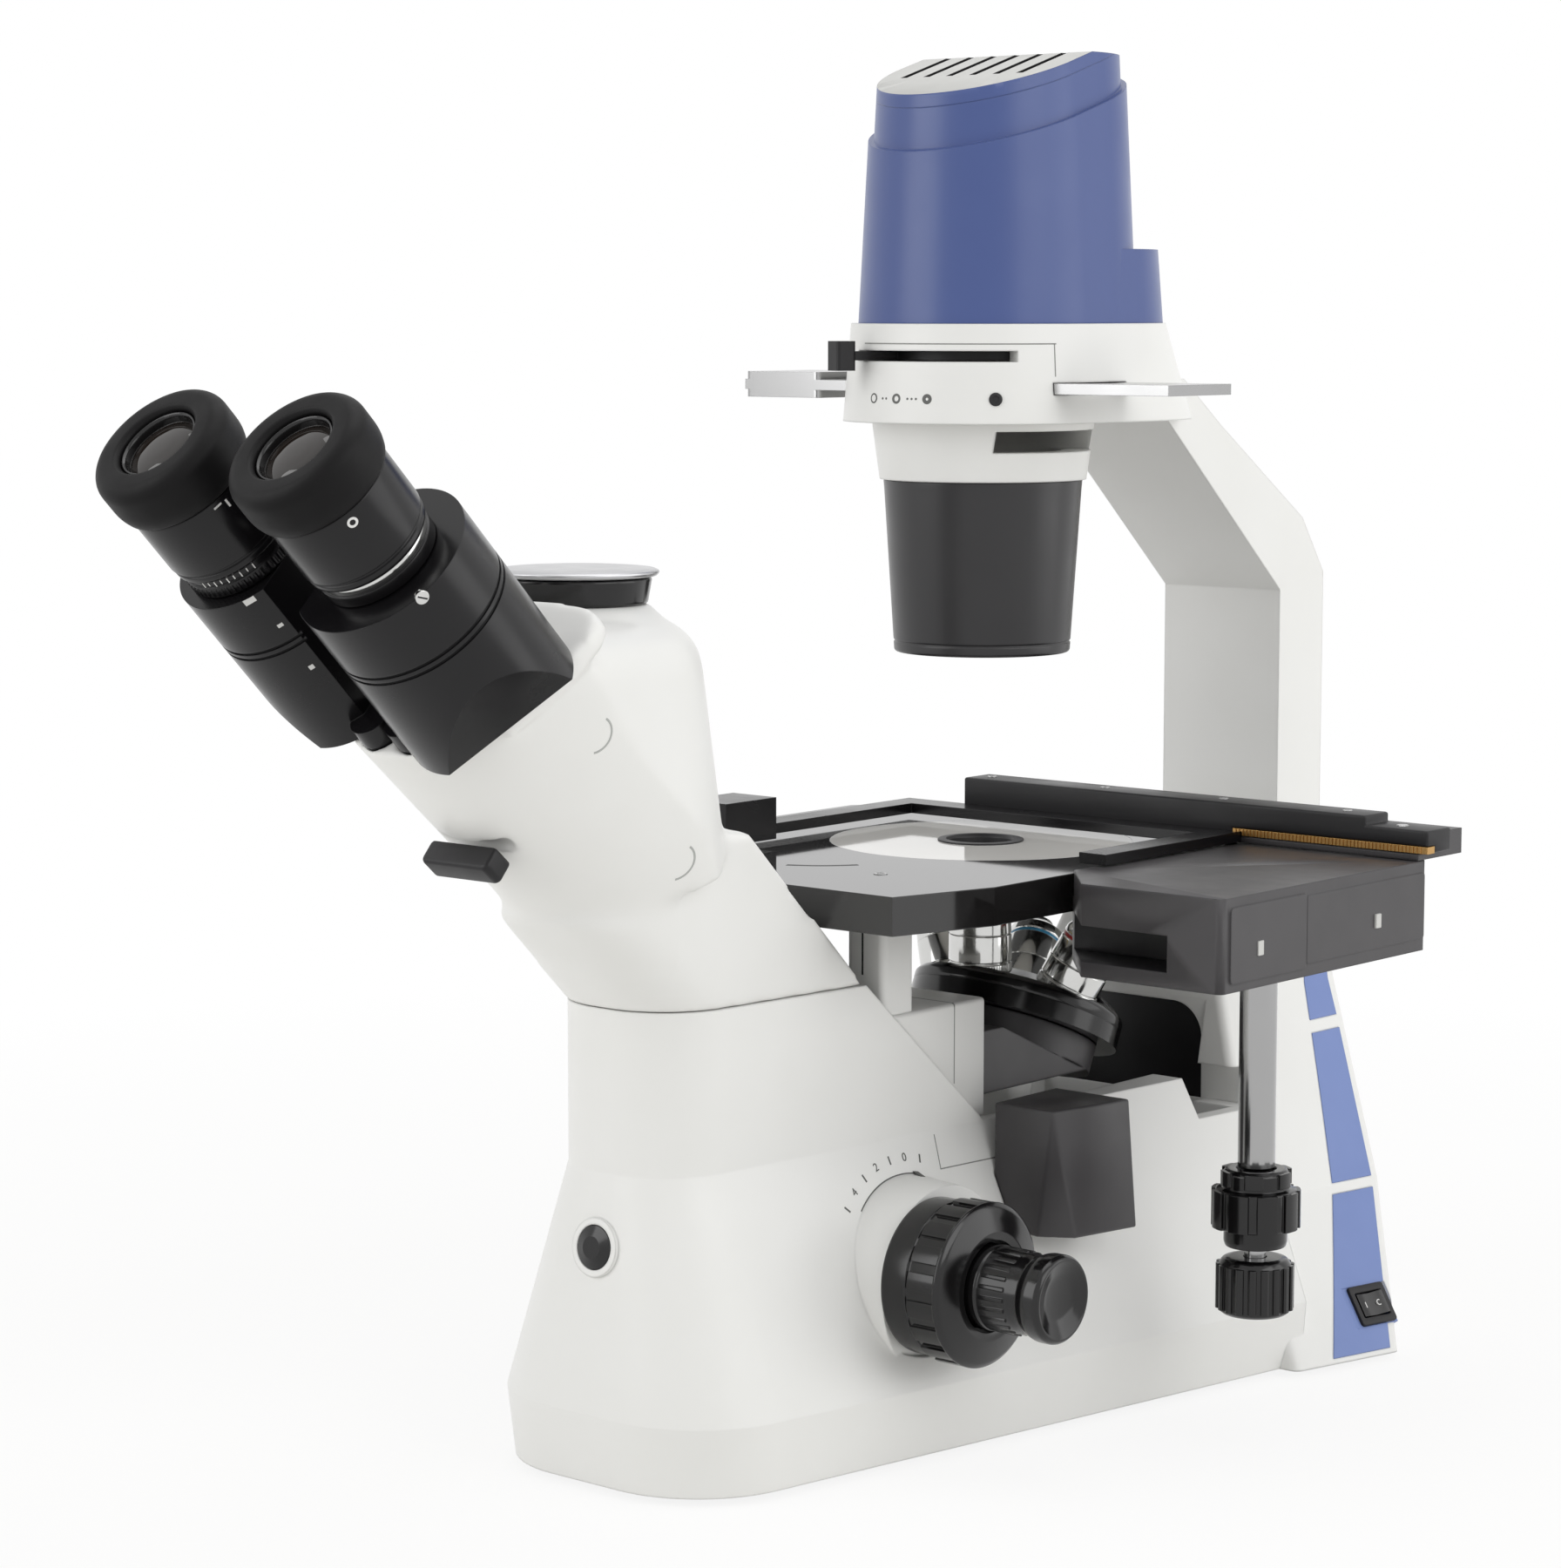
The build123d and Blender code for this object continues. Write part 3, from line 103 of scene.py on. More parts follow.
studio = {"fill": 0.5, "floorTone": "#F4F3F0", "nearGlow": 0.86, "nearRadius": 0.35, "farRadius": 1,
        "floorHalf": 14, "white": (1, 1, 1, 1)}

world = bpy.data.worlds.new("studio")
bpy.context.scene.world = world
world.use_nodes = True
sky = world.node_tree
sky.nodes.clear()
# the backdrop is plain white to the eye and in reflections, and a softer fill elsewhere
level = addNode(sky, "ShaderNodeMapRange", {"To Min": studio["fill"], "To Max": 1}, [(seenRays(sky), "Value")])
glow = addNode(sky, "ShaderNodeBackground", {"Color": studio["white"]}, [(level.outputs[0], "Strength")])
addNode(sky, "ShaderNodeOutputWorld", {}, [(glow.outputs[0], "Surface")])

floorMaterial = bpy.data.materials.new("paperFloor")
floorMaterial.use_nodes = True
tree = floorMaterial.node_tree
tree.nodes.clear()
# the paper glows white to the eye, fully so away from the object, where it meets the backdrop
spot = addNode(tree, "ShaderNodeTexCoord")
far = addNode(tree, "ShaderNodeVectorMath", {"operation": "LENGTH"}, [(spot.outputs["Object"], 0)])
share = addNode(tree, "ShaderNodeMapRange", {
    "From Min": studio["nearRadius"], "From Max": studio["farRadius"], "To Min": studio["nearGlow"], "To Max": 1},
    [(far.outputs["Value"], "Value")])
share = addNode(tree, "ShaderNodeMath", {"operation": "MULTIPLY"}, [(share.outputs[0], 0), (seenRays(tree), 1)])
paper = addNode(tree, "ShaderNodeBsdfDiffuse", {"Color": linearColour(studio["floorTone"])})
shine = addNode(tree, "ShaderNodeEmission", {"Color": studio["white"], "Strength": 1})
mixed = addNode(tree, "ShaderNodeMixShader", {}, [
    (share.outputs[0], 0), (paper.outputs[0], 1), (shine.outputs[0], 2)])
addNode(tree, "ShaderNodeOutputMaterial", {}, [(mixed.outputs[0], "Surface")])
floorMesh = bpy.data.meshes.new("floor")
half = studio["floorHalf"]
floorMesh.from_pydata([(-half, -half, 0), (half, -half, 0), (half, half, 0), (-half, half, 0)], [], [(0, 1, 2, 3)])
floorMesh.materials.append(floorMaterial)
floor = linked("floor", floorMesh)

lamps = {  # name: (place, width, height, watts), all aimed at the middle of the object
    "keySoftbox": ((1.55, -0.15, 1.05), 1.1, 1.1, 8),
    "rightSoftbox": ((1.3, 0.8, 0.6), 0.9, 1.3, 4.5),
    "leftSoftbox": ((-0.75, -1.65, 0.95), 1.2, 1.4, 12),
    "topSoftbox": ((0.1, 0.1, 1.95), 1.4, 1.4, 9),
}
aim = axis + Vector((0.02, -0.09, 0.24))
for name, (place, wide, tall, watts) in lamps.items():
    lamp = bpy.data.lights.new(name, "AREA")
    lamp.shape = "RECTANGLE"
    lamp.size, lamp.size_y = wide, tall
    lamp.energy = watts
    lampObject = linked(name, lamp)
    lampObject.location = axis + Vector(place)
    lampObject.rotation_euler = (aim - lampObject.location).to_track_quat("-Z", "Y").to_euler()
print("stage: camera and studio ready")


# finishes

def makeFinish(name, base, shade, rough, cloudMm, grainMm, grainHeight, edgeMm=0.5, sockets=()):
    # base and shade are the two tones of a slow mottle cloudMm wide, rough its low and high roughness,
    # grainMm and grainHeight the size and depth of the surface grain, and edgeMm the softness of the
    # edges that paint, polish or the mould leaves
    material = bpy.data.materials.new(name)
    material.use_nodes = True
    tree = material.node_tree
    shader = tree.nodes["Principled BSDF"]
    place = addNode(tree, "ShaderNodeTexCoord")
    cloud = addNode(tree, "ShaderNodeTexNoise", {"Scale": 1 / (cloudMm * mm), "Detail": 3},
            [(place.outputs["Object"], "Vector")])
    tint = addNode(tree, "ShaderNodeMix", {"data_type": "RGBA", 6: linearColour(base), 7: linearColour(shade)},
            [(cloud.outputs[0], 0)])
    sheen = addNode(tree, "ShaderNodeMapRange",
            {"From Min": 0.3, "From Max": 0.7, "To Min": rough[0], "To Max": rough[1]},
            [(cloud.outputs[0], "Value")])
    grain = addNode(tree, "ShaderNodeTexNoise", {"Scale": 1 / (grainMm * mm), "Detail": 2},
            [(place.outputs["Object"], "Vector")])
    edge = addNode(tree, "ShaderNodeBevel", {"samples": 4, "Radius": edgeMm * mm})
    bump = addNode(tree, "ShaderNodeBump", {"Strength": 1, "Distance": grainHeight * mm},
            [(grain.outputs[0], "Height"), (edge.outputs[0], "Normal")])
    tree.links.new(tint.outputs[2], shader.inputs["Base Color"])
    tree.links.new(sheen.outputs[0], shader.inputs["Roughness"])
    tree.links.new(bump.outputs[0], shader.inputs["Normal"])
    for socket, value in {"IOR": 1.5, **dict(sockets)}.items():
        shader.inputs[socket].default_value = value
    return material


finishTable = {  # name: (slot, material, base, shade, rough, cloudMm, grainMm, grainHeight, edgeMm, sockets)
    # stoved enamel on cast aluminium: warm white with a faint orange peel
    "white": ("white_paint", "warmWhiteEnamel", "#ECECEA", "#E7E7E4", (0.34, 0.42), 40, 1.1, 0.012, 1.2),
    # blue stoved enamel on the lamp shell: soft satin highlights
    "blue": ("blue_paint", "blueEnamel", "#46588F", "#415288", (0.28, 0.36), 30, 0.9, 0.012, 0.8),
    # blue moulded ABS strips: paler and smoother than the lamp
    "inlay": ("blue_paint", "blueAbsInlay", "#768AC0", "#6E82B8", (0.38, 0.46), 25, 0.6, 0.01, 0.4),
    # moulded black ABS: fine spark texture from the mould
    "abs": ("black_plastic", "blackAbs", "#1B1A1C", "#161517", (0.36, 0.46), 18, 0.5, 0.02, 0.5,
        {"Specular IOR Level": 0.32}),
    # polished black phenolic knobs: deep gloss
    "knob": ("black_plastic", "polishedPhenolic", "#100F10", "#0C0B0C", (0.12, 0.2), 14, 2.5, 0.006, 0.3,
        {"IOR": 1.55, "Specular IOR Level": 0.4}),
    # satin black enamel on turned tubes: one clear streak of light
    "tube": ("black_paint", "satinBlackEnamel", "#121113", "#0E0D0F", (0.2, 0.28), 22, 0.8, 0.008, 0.5,
        {"Specular IOR Level": 0.32}),
    # satin anodised cone: dark grey with one broad soft highlight
    "cone": ("black_paint", "satinDarkAnodise", "#262527", "#212022", (0.28, 0.36), 22, 0.8, 0.006, 0.5),
    # fine textured dark grey powder coat
    "box": ("dark_paint", "darkPowderCoat", "#3E3C3E", "#383638", (0.34, 0.44), 20, 0.45, 0.02, 1.2),
    # glossy black enamel of the stage: pale only where it mirrors the studio at a low angle
    "stage": ("stage_paint", "glossBlackEnamel", "#1B1A1A", "#161515", (0.03, 0.07), 35, 4, 0.001, 0.6, {"IOR": 1.7}),
    # black rubber: matt with a fine moulded grain
    "rubber": ("black_rubber", "blackRubber", "#0E0D0E", "#0A090A", (0.46, 0.58), 12, 0.4, 0.02, 0.3,
        {"IOR": 1.42, "Specular IOR Level": 0.22}),
    # chromium plate: bright and faintly waved
    "chrome": ("bright_metal", "chromePlate", "#D6D6D4", "#CBCBC9", (0.08, 0.14), 9, 1.5, 0.003, 0.2,
        {"Metallic": 1}),
    # ground steel slides and rods
    "steel": ("steel", "groundSteel", "#ACACAC", "#A4A4A4", (0.14, 0.2), 40, 0.8, 0.001, 0.3, {"Metallic": 1}),
    # bare brass rack, dulled by handling
    "brass": ("brass", "satinBrass", "#C09A62", "#AC8650", (0.3, 0.42), 7, 0.4, 0.006, 0.2, {"Metallic": 1}),
    # pale grey ABS of the lamp lid
    "pale": ("grey_plastic", "paleGreyAbs", "#C9C9C6", "#C1C1BE", (0.4, 0.5), 18, 0.6, 0.02, 0.6),
    # opal acrylic insert plate: milk white under a clear gloss
    "opal": ("frosted_insert", "opalAcrylic", "#F4F2EE", "#EEECE7", (0.04, 0.08), 30, 4, 0.001, 0.3, {"IOR": 1.55}),
    # black anodised parts, and the black of painted shade in the vent walls, the hand opening, the stage slit and the
    # screw slot
    "anodised": ("black_paint", "blackAnodised", "#1A191B", "#151416", (0.4, 0.5), 10, 0.3, 0.006, 0.2,
        {"IOR": 1.45}),
    # satin aluminium of the port cap: soft grey reflections
    "aluminium": ("heat_sink", "satinAluminium", "#C4C4C5", "#B8B8BA", (0.28, 0.38), 8, 0.3, 0.004, 0.3,
        {"Metallic": 1}),
    # front surface mirror: no colour of its own
    "mirror": ("mirror_face", "frontMirror", "#E6E8EA", "#E0E2E4", (0.02, 0.04), 30, 6, 0.001, 0.1, {"Metallic": 1}),
    # zinc plate of the sheet under the machine
    "plate": ("steel", "zincPlatedSteel", "#8E8F8F", "#828383", (0.34, 0.46), 15, 0.8, 0.01, 0.3, {"Metallic": 1}),
    # printed marks: flat and matt
    "whiteInk": ("white_paint", "whiteInk", "#E8E8E6", "#E0E0DE", (0.4, 0.5), 3, 0.3, 0.002, 0.05),
    "greyInk": ("black_paint", "greyInk", "#5A5B58", "#525350", (0.4, 0.5), 3, 0.3, 0.002, 0.05),
    # shadow grey of a closed joint between two painted castings
    "seam": ("grey_plastic", "jointShadow", "#8D8E8A", "#858682", (0.6, 0.7), 5, 0.4, 0.004, 0.05, {"IOR": 1.45}),
    # faint joint ring round each head plug, drawn only on one side as a soft grey line of painted shadow
    "plugShadowLine": ("grey_plastic", "paintedJoint", "#B4B6B3", "#AEB0AD", (0.4, 0.5), 20, 1, 0.002),
    # coated eye lens, opaque: near black as painted shade of the dark tube behind the glass, under a warm coating
    # that mirrors the room faintly
    "lens": ("clear_glass", "coatedLens", "#1E1712", "#17110D", (0.02, 0.04), 14, 6, 0.0005, 0.1, {"IOR": 1.6}),
    # plain condenser and front glass
    "glass": ("clear_glass", "coatedGlass", "#F4EFE6", "#F0EBE2", (0, 0.01), 20, 8, 0.0005, 0.1,
        {"IOR": 1.52, "Transmission Weight": 1}),
}
finishes = {key: makeFinish(*row[1:]) for key, row in finishTable.items()}
# engraved rings filled with coloured enamel
for key, base, shade in (("redRing", "#B02A2A", "#A62626"), ("yellowRing", "#D9B52E", "#CFAB28"),
        ("greenRing", "#2F8A4B", "#298244"), ("skyRing", "#4FA3D0", "#4899C6")):
    finishes[key] = makeFinish(key + "Enamel", base, shade, (0.3, 0.4), 3, 0.4, 0.002, 0.1)

# finishes of the CAD nodes that stay in sight
nodeFinish = {
    "white": ("base_casting", "stage_posts", "column_arm", "lamp_carrier", "carrier_ring"),
    "blue": ("lamp_housing",),
    "inlay": ("rear_inlays",),
    "abs": ("mains_inlet", "bay_panel", "aperture_lever"),
    "knob": ("front_button", "turret", "turret_plug"),
    "tube": ("left_tube", "right_tube", "specimen_holder"),
    "box": ("focus_carriage", "y_carriage"),
    "stage": ("stage_plate",),
    "rubber": ("rubber_feet",),
    "steel": ("focus_rail", "phase_slider"),
    "brass": ("x_rack",),
    "opal": ("stage_insert",),
    "anodised": ("led_module",),
    "mirror": ("relay_mirror",),
    "plate": ("base_plate",),
    "glass": ("condenser_lens",),
}
for finish, members in nodeFinish.items():
    for member in members:
        data = nodes[member].data
        data.materials.clear()
        data.materials.append(finishes[finish])
print("stage: finishes on the CAD nodes")


# tools: outlines, turning, slabs, copies and marks

def roundedPath(points, steps=4):
    # points are (x, y) or (x, y, length cut off the corner), in order round a closed outline
    path = []
    for index, point in enumerate(points):
        here = Vector(point[:2])
        if len(point) < 3:
            path.append(here)
            continue
        ends = []
        for other in (points[index - 1], points[(index + 1) % len(points)]):
            away = Vector(other[:2]) - here
            ends.append(here + away * min(point[2] / away.length, 0.48))
        for step in range(steps + 1):
            t = step / steps
            path.append(ends[0] * (1 - t) ** 2 + here * 2 * t * (1 - t) + ends[1] * t ** 2)
    return path


def placed(origin, up=(0, 0, 1), along=(1, 0, 0)):
    # a matrix that stands its own z on up and lays its own x along
    z = Vector(up).normalized()
    x = Vector(along)
    x = (x - z * x.dot(z)).normalized()
    matrix = Matrix((x, z.cross(x), z)).transposed().to_4x4()
    matrix.translation = Vector(origin)
    return matrix


def turn(degrees, about="Z"):
    return Matrix.Rotation(math.radians(degrees), 4, about)


def shift(x, y, z):
    return Matrix.Translation((x, y, z))


def lathe(bm, outline, place=Matrix(), segments=96, part=0, hexFrom=None):
    # turns an outline of (radius, height) about z; from ring hexFrom on, the ring is a hexagon
    rings = []
    for ring, (radius, height) in enumerate(outline):
        if radius < 0.0001:
            rings.append([bm.verts.new(place @ Vector((0, 0, height)))])
            continue
        spots = []
        for k in range(segments):
            angle = 2 * math.pi * k / segments
            reach = radius
            if hexFrom is not None and ring >= hexFrom:
                reach /= math.cos((angle + math.pi / 6) % (math.pi / 3) - math.pi / 6)
            spots.append(bm.verts.new(place @ Vector((reach * math.cos(angle), reach * math.sin(angle), height))))
        rings.append(spots)
    for low, high in zip(rings, rings[1:] + rings[:1]):
        if len(low) == 1 and len(high) == 1:
            continue
        for k in range(segments):
            after = (k + 1) % segments
            if len(low) == 1:
                corners = (low[0], high[after], high[k])
            elif len(high) == 1:
                corners = (low[k], low[after], high[0])
            else:
                corners = (low[k], low[after], high[after], high[k])
            bm.faces.new(corners).material_index = part


def breakEdges(bm, edges, offset, segments, clamp=True):
    bmesh.ops.bevel(bm, geom=edges, offset=offset, segments=segments, profile=0.5, affect="EDGES",
            clamp_overlap=clamp)


def slab(outline, low, high, bevel=0, segments=2):
    # an outline in x and y made solid from low to high, with its sharp edges broken
    sharp = 0.7
    bm = bmesh.new()
    under = [bm.verts.new((x, y, low)) for x, y in outline]
    over = [bm.verts.new((x, y, high)) for x, y in outline]
    bm.faces.new(under[::-1])
    bm.faces.new(over)
    for k in range(len(under)):
        after = (k + 1) % len(under)
        bm.faces.new((under[k], under[after], over[after], over[k]))
    if bevel:
        breakEdges(bm, [edge for edge in bm.edges if edge.calc_face_angle(0) > sharp], bevel, segments)
    return bm


def addTo(bm, other, place=Matrix(), part=0):
    other.transform(place)
    for face in other.faces:
        face.material_index = part
    joined = bpy.data.meshes.new("joined")
    other.to_mesh(joined)
    other.free()
    bm.from_mesh(joined)
    bpy.data.meshes.remove(joined)


def meshCopy(mesh):
    bm = bmesh.new()
    bm.from_mesh(mesh)
    bm.transform(toFrame.inverted())
    return bm


def cadCopy(node, bevel=0):
    # a merged copy of a CAD node, in millimetres, with its sharp edges broken
    flat, sharp = math.radians(0.5), math.radians(35)
    bm = meshCopy(nodes[node].data)
    bmesh.ops.remove_doubles(bm, verts=bm.verts, dist=0.004)
    if bevel:
        bmesh.ops.dissolve_limit(bm, angle_limit=flat, verts=bm.verts, edges=bm.edges)
        breakEdges(bm, [edge for edge in bm.edges if edge.calc_face_angle(0) > sharp], bevel, 3, False)
    return bm


def helper(name, bm):
    mesh = bpy.data.meshes.new(name)
    bm.to_mesh(mesh)
    bm.free()
    return linked(name, mesh)


def baked(thing):
    # the shape of a helper after its modifiers
    bpy.context.view_layer.update()
    mesh = bpy.data.meshes.new_from_object(thing.evaluated_get(bpy.context.evaluated_depsgraph_get()))
    bm = bmesh.new()
    bm.from_mesh(mesh)
    bpy.data.meshes.remove(mesh)
    return bm


def carve(bm, cutter):
    # cuts one closed bmesh out of another
    solids = []
    for shape in (bm, cutter):
        bmesh.ops.recalc_face_normals(shape, faces=shape.faces)
        solids.append(helper("carving", shape))
    modifier = solids[0].modifiers.new("cut", "BOOLEAN")
    modifier.operation, modifier.solver, modifier.object = "DIFFERENCE", "EXACT", solids[1]
    result = baked(solids[0])
    for solid in solids:
        bpy.data.objects.remove(solid)
    return result


def cutAway(bm, place, normal):
    # cuts by a plane, drops the side that normal points to and closes the cut
    bmesh.ops.bisect_plane(bm, geom=bm.verts[:] + bm.edges[:] + bm.faces[:], plane_co=place, plane_no=normal,
            clear_outer=True)
    bmesh.ops.holes_fill(bm, edges=bm.edges)


def skinOf(bm):
    # a surface that a ray can meet
    skin = BVHTree.FromBMesh(bm)
    bm.free()
    return skin


def frameRing(outer, inner, low, high):
    bm = bmesh.new()
    loops = [[bm.verts.new((x, y, z)) for x, y in path] for path, z in (
        (outer, low), (outer, high), (inner, high), (inner, low))]
    count = len(outer)
    for first, second in zip(loops, loops[1:] + loops[:1]):
        for k in range(count):
            bm.faces.new((first[k], first[(k + 1) % count], second[(k + 1) % count], second[k]))
    return bm


def finishPiece(name, bm, finish, body, replaced=(), more=(), angle=32):
    # more holds further finishes, for faces with material index 1 and up
    bmesh.ops.remove_doubles(bm, verts=bm.verts, dist=0.002)
    bmesh.ops.recalc_face_normals(bm, faces=bm.faces)
    bm.transform(toFrame)
    mesh = bpy.data.meshes.new(name)
    bm.to_mesh(mesh)
    bm.free()
    for key in (finish, *more):
        mesh.materials.append(finishes[key])
    mesh.shade_smooth()
    mesh.set_sharp_from_angle(angle=math.radians(angle))
    piece = linked(name, mesh)
    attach(piece, body)
    if replaced:
        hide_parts(*replaced)
    return piece


def inkStrip(bm, skin, guide, width, look, lift=0.06):
    # a thin printed line along guide, laid on a surface that is seen in the direction look
    back, sunk = 60, 0.3
    look = Vector(look).normalized()
    rows = []
    for k, point in enumerate(guide):
        ahead = Vector(guide[min(k + 1, len(guide) - 1)]) - Vector(guide[max(k - 1, 0)])
        side = ahead.cross(look).normalized() * width / 2
        hits = [skin.ray_cast(Vector(point) + side * sign - look * back, look)[:2] for sign in (-1, 1)]
        if all(spot for spot, normal in hits):
            rows.append([bm.verts.new(spot + normal * reach) for spot, normal in hits for reach in (lift, -sunk)])
    for a, b in zip(rows, rows[1:]):
        for corners in ((a[0], b[0], b[2], a[2]), (a[1], a[3], b[3], b[1]),
                (a[0], a[1], b[1], b[0]), (a[2], b[2], b[3], a[3])):
            bm.faces.new(corners)
    for end in (rows[0], rows[-1]):
        bm.faces.new((end[0], end[2], end[3], end[1]))


def evenly(start, end, steps):
    return [Vector(start).lerp(Vector(end), k / steps) for k in range(steps + 1)]


def digit(text, tall, place):
    # one printed figure as a thin solid, standing on the z of place
    bodyToFigure, thick = 1.4, 0.12
    curve = bpy.data.curves.new("figure", "FONT")
    curve.body = text
    curve.size = tall * bodyToFigure
    curve.align_x, curve.align_y = "CENTER", "CENTER"
    curve.extrude = thick
    shown = linked("figure", curve)
    bm = baked(shown)
    bm.transform(place)
    bpy.data.objects.remove(shown)
    bpy.data.curves.remove(curve)
    return bm


# node trees for what repeats: a ring of parts, a row of parts and parts on chosen spots

def repeatTree(name, inputs, build):
    tree = bpy.data.node_groups.new(name, "GeometryNodeTree")
    for label, kind in inputs + (("Part", "NodeSocketObject"), ("Finish", "NodeSocketMaterial")):
        tree.interface.new_socket(label, in_out="INPUT", socket_type=kind)
    tree.interface.new_socket("Geometry", in_out="OUTPUT", socket_type="NodeSocketGeometry")
    given = addNode(tree, "NodeGroupInput")
    points, rotation = build(tree, given)
    part = addNode(tree, "GeometryNodeObjectInfo", {}, [(given.outputs["Part"], "Object")])
    links = [(points, "Points"), (part.outputs["Geometry"], "Instance")]
    if rotation:
        links.append((rotation, "Rotation"))
    copies = addNode(tree, "GeometryNodeInstanceOnPoints", {}, links)
    whole = addNode(tree, "GeometryNodeRealizeInstances", {}, [(copies.outputs[0], "Geometry")])
    coated = addNode(tree, "GeometryNodeSetMaterial", {}, [
        (whole.outputs[0], "Geometry"), (given.outputs["Finish"], "Material")])
    addNode(tree, "NodeGroupOutput", {}, [(coated.outputs[0], "Geometry")])
    return tree


def buildRing(tree, given):
    circle = addNode(tree, "GeometryNodeMeshCircle", {}, [
        (given.outputs["Count"], "Vertices"), (given.outputs["Radius"], "Radius")])
    spot = addNode(tree, "GeometryNodeInputPosition")
    outward = addNode(tree, "FunctionNodeAlignRotationToVector", {"axis": "X", "pivot_axis": "Z"},
            [(spot.outputs[0], "Vector")])
    return circle.outputs[0], outward.outputs[0]


def buildRow(tree, given):
    line = addNode(tree, "GeometryNodeMeshLine", {}, [
        (given.outputs["Count"], "Count"), (given.outputs["Start"], "Start Location"),
        (given.outputs["Pitch"], "Offset")])
    return line.outputs[0], None


def buildSpots(tree, given):
    return given.outputs["Spots"], None


ringTree = repeatTree("ringOfParts", (("Count", "NodeSocketInt"), ("Radius", "NodeSocketFloat")), buildRing)
rowTree = repeatTree("rowOfParts", (
    ("Count", "NodeSocketInt"), ("Start", "NodeSocketVector"), ("Pitch", "NodeSocketVector")), buildRow)
spotTree = repeatTree("partsOnSpots", (("Spots", "NodeSocketGeometry"),), buildSpots)


def repeat(tree, part, finish, spots=(), **values):
    # part is a small bmesh; the result is a bmesh of all its copies, in millimetres
    partMesh = bpy.data.meshes.new("partToRepeat")
    part.to_mesh(partMesh)
    part.free()
    partObject = bpy.data.objects.new("partToRepeat", partMesh)
    hostMesh = bpy.data.meshes.new("repeatHost")
    hostMesh.from_pydata(list(spots), [], [])
    host = linked("repeatHost", hostMesh)
    modifier = host.modifiers.new("repeat", "NODES")
    modifier.node_group = tree
    values.update(Part=partObject, Finish=finishes[finish])
    for socket in tree.interface.items_tree:
        if socket.in_out == "INPUT" and socket.name in values:
            modifier[socket.identifier] = values[socket.name]
    bm = baked(host)
    host.modifiers.remove(modifier)
    for thing in (host, partObject):
        bpy.data.objects.remove(thing)
    for thing in (hostMesh, partMesh):
        bpy.data.meshes.remove(thing)
    return bm


def addRing(bm, part, finish, count, radius, place, slot=0):
    addTo(bm, repeat(ringTree, part, finish, Count=count, Radius=float(radius)), place, slot)


# outlines and pieces that come up often

def rectangle(halfWide, halfTall):
    return [(-halfWide, -halfTall), (halfWide, -halfTall), (halfWide, halfTall), (-halfWide, halfTall)]


def roundedBox(wide, tall, cut):
    return roundedPath([(x, y, cut) for x, y in rectangle(wide / 2, tall / 2)])


def ribOutline(root, rootHalf, top, topHalf):
    return [(-root, -rootHalf), (top, -topHalf), (top, topHalf), (-root, rootHalf)]


def landOutline(half, top, corner, flat, root=0):
    # a broad rib with a flat top between two broken corners
    return [(-root, -half), (top - corner, -half), (top, -flat), (top, flat), (top - corner, half), (-root, half)]


def socketScrew(radius, tall):
    bm = bmesh.new()
    lathe(bm, [(0, -tall), (radius, -tall), (radius, tall * 0.75), (radius * 0.88, tall),
            (radius * 0.5, tall), (radius * 0.5, tall * 0.2), (0, tall * 0.2)], segments=24, hexFrom=4)
    return bm


def turned(name, outline, finish, node, place=Matrix(), segments=96, steps=4):
    # a piece that is one turned outline and stands for one CAD node
    bm = bmesh.new()
    lathe(bm, roundedPath(outline, steps), place, segments)
    finishPiece(name, bm, finish, bodyOf[node], [node])


# eyepieces

eyepiece = {
    "eye": (31.4, -382.6, 368.5), "slant": 45,
    "cup": [(20, -14, 0.3), (23.2, -14, 0.9), (24.5, -10, 2.5), (24.5, 0.6, 2.2), (21.6, 3.9, 2),
        (15.2, 3.9, 0.8), (14.2, 2.4, 0.5), (14, -8.9, 0.3), (20, -9, 0.2)],
    "cell": [(12.2, -8), (13.9, -8), (13.9, 1.6, 0.3), (13.2, 2, 0.3), (12.5, 1.2, 0.3), (12.2, -1)],
    "lens": [(0, -6), (12.3, -6), (12.3, -1.2, 0.2), (9, 0.2, 1.5), (4.5, 0.9, 1.5), (0, 1.1)],
    "barrel": [(0, -74), (14.9, -74, 0.4), (14.9, -41.3, 0.2), (20.6, -41.3, 0.5), (21.6, -40.2, 0.5),
        (21.6, -38.4, 0.2),
        (21, -38, 0.2), (21, -37.2, 0.2), (22, -36.8, 0.3), (22, -15, 0.4), (21.2, -14.3, 0.3),
        (20, -14.2), (20, -9.2), (13.6, -9.2, 0.5), (13.1, -10.4, 0.3), (13.1, -14), (0, -14)],
    "band": [(15, -48.7), (20.4, -48.7, 0.4), (20.4, -44.4, 0.3), (19.8, -44.2, 0.2), (19.8, -43.8), (15, -43.8)],
    "bright": [(15, -43.8), (20, -43.8, 0.2), (20, -41.5, 0.3), (15, -41.5)],
    "ribs": 60, "ribRadius": 20.3, "barrelRadius": 22, "ringMark": (-31, -18.5), "crossMark": (-20, -17.5),
    "tickRadius": 20, "tickMiddle": -60, "tickStep": 7, "tickHeight": -42.6,
}


def tubePlace(side):
    slant = math.radians(eyepiece["slant"])
    x, y, z = eyepiece["eye"]
    return placed((side * x, y, z), (0, -math.cos(slant), math.sin(slant)))


def onBarrel(place, radius, degrees, height):
    # z looks straight out of a turned surface and x runs up its axis
    return place @ turn(degrees) @ shift(radius, 0, height) @ turn(90, "Y") @ turn(180)


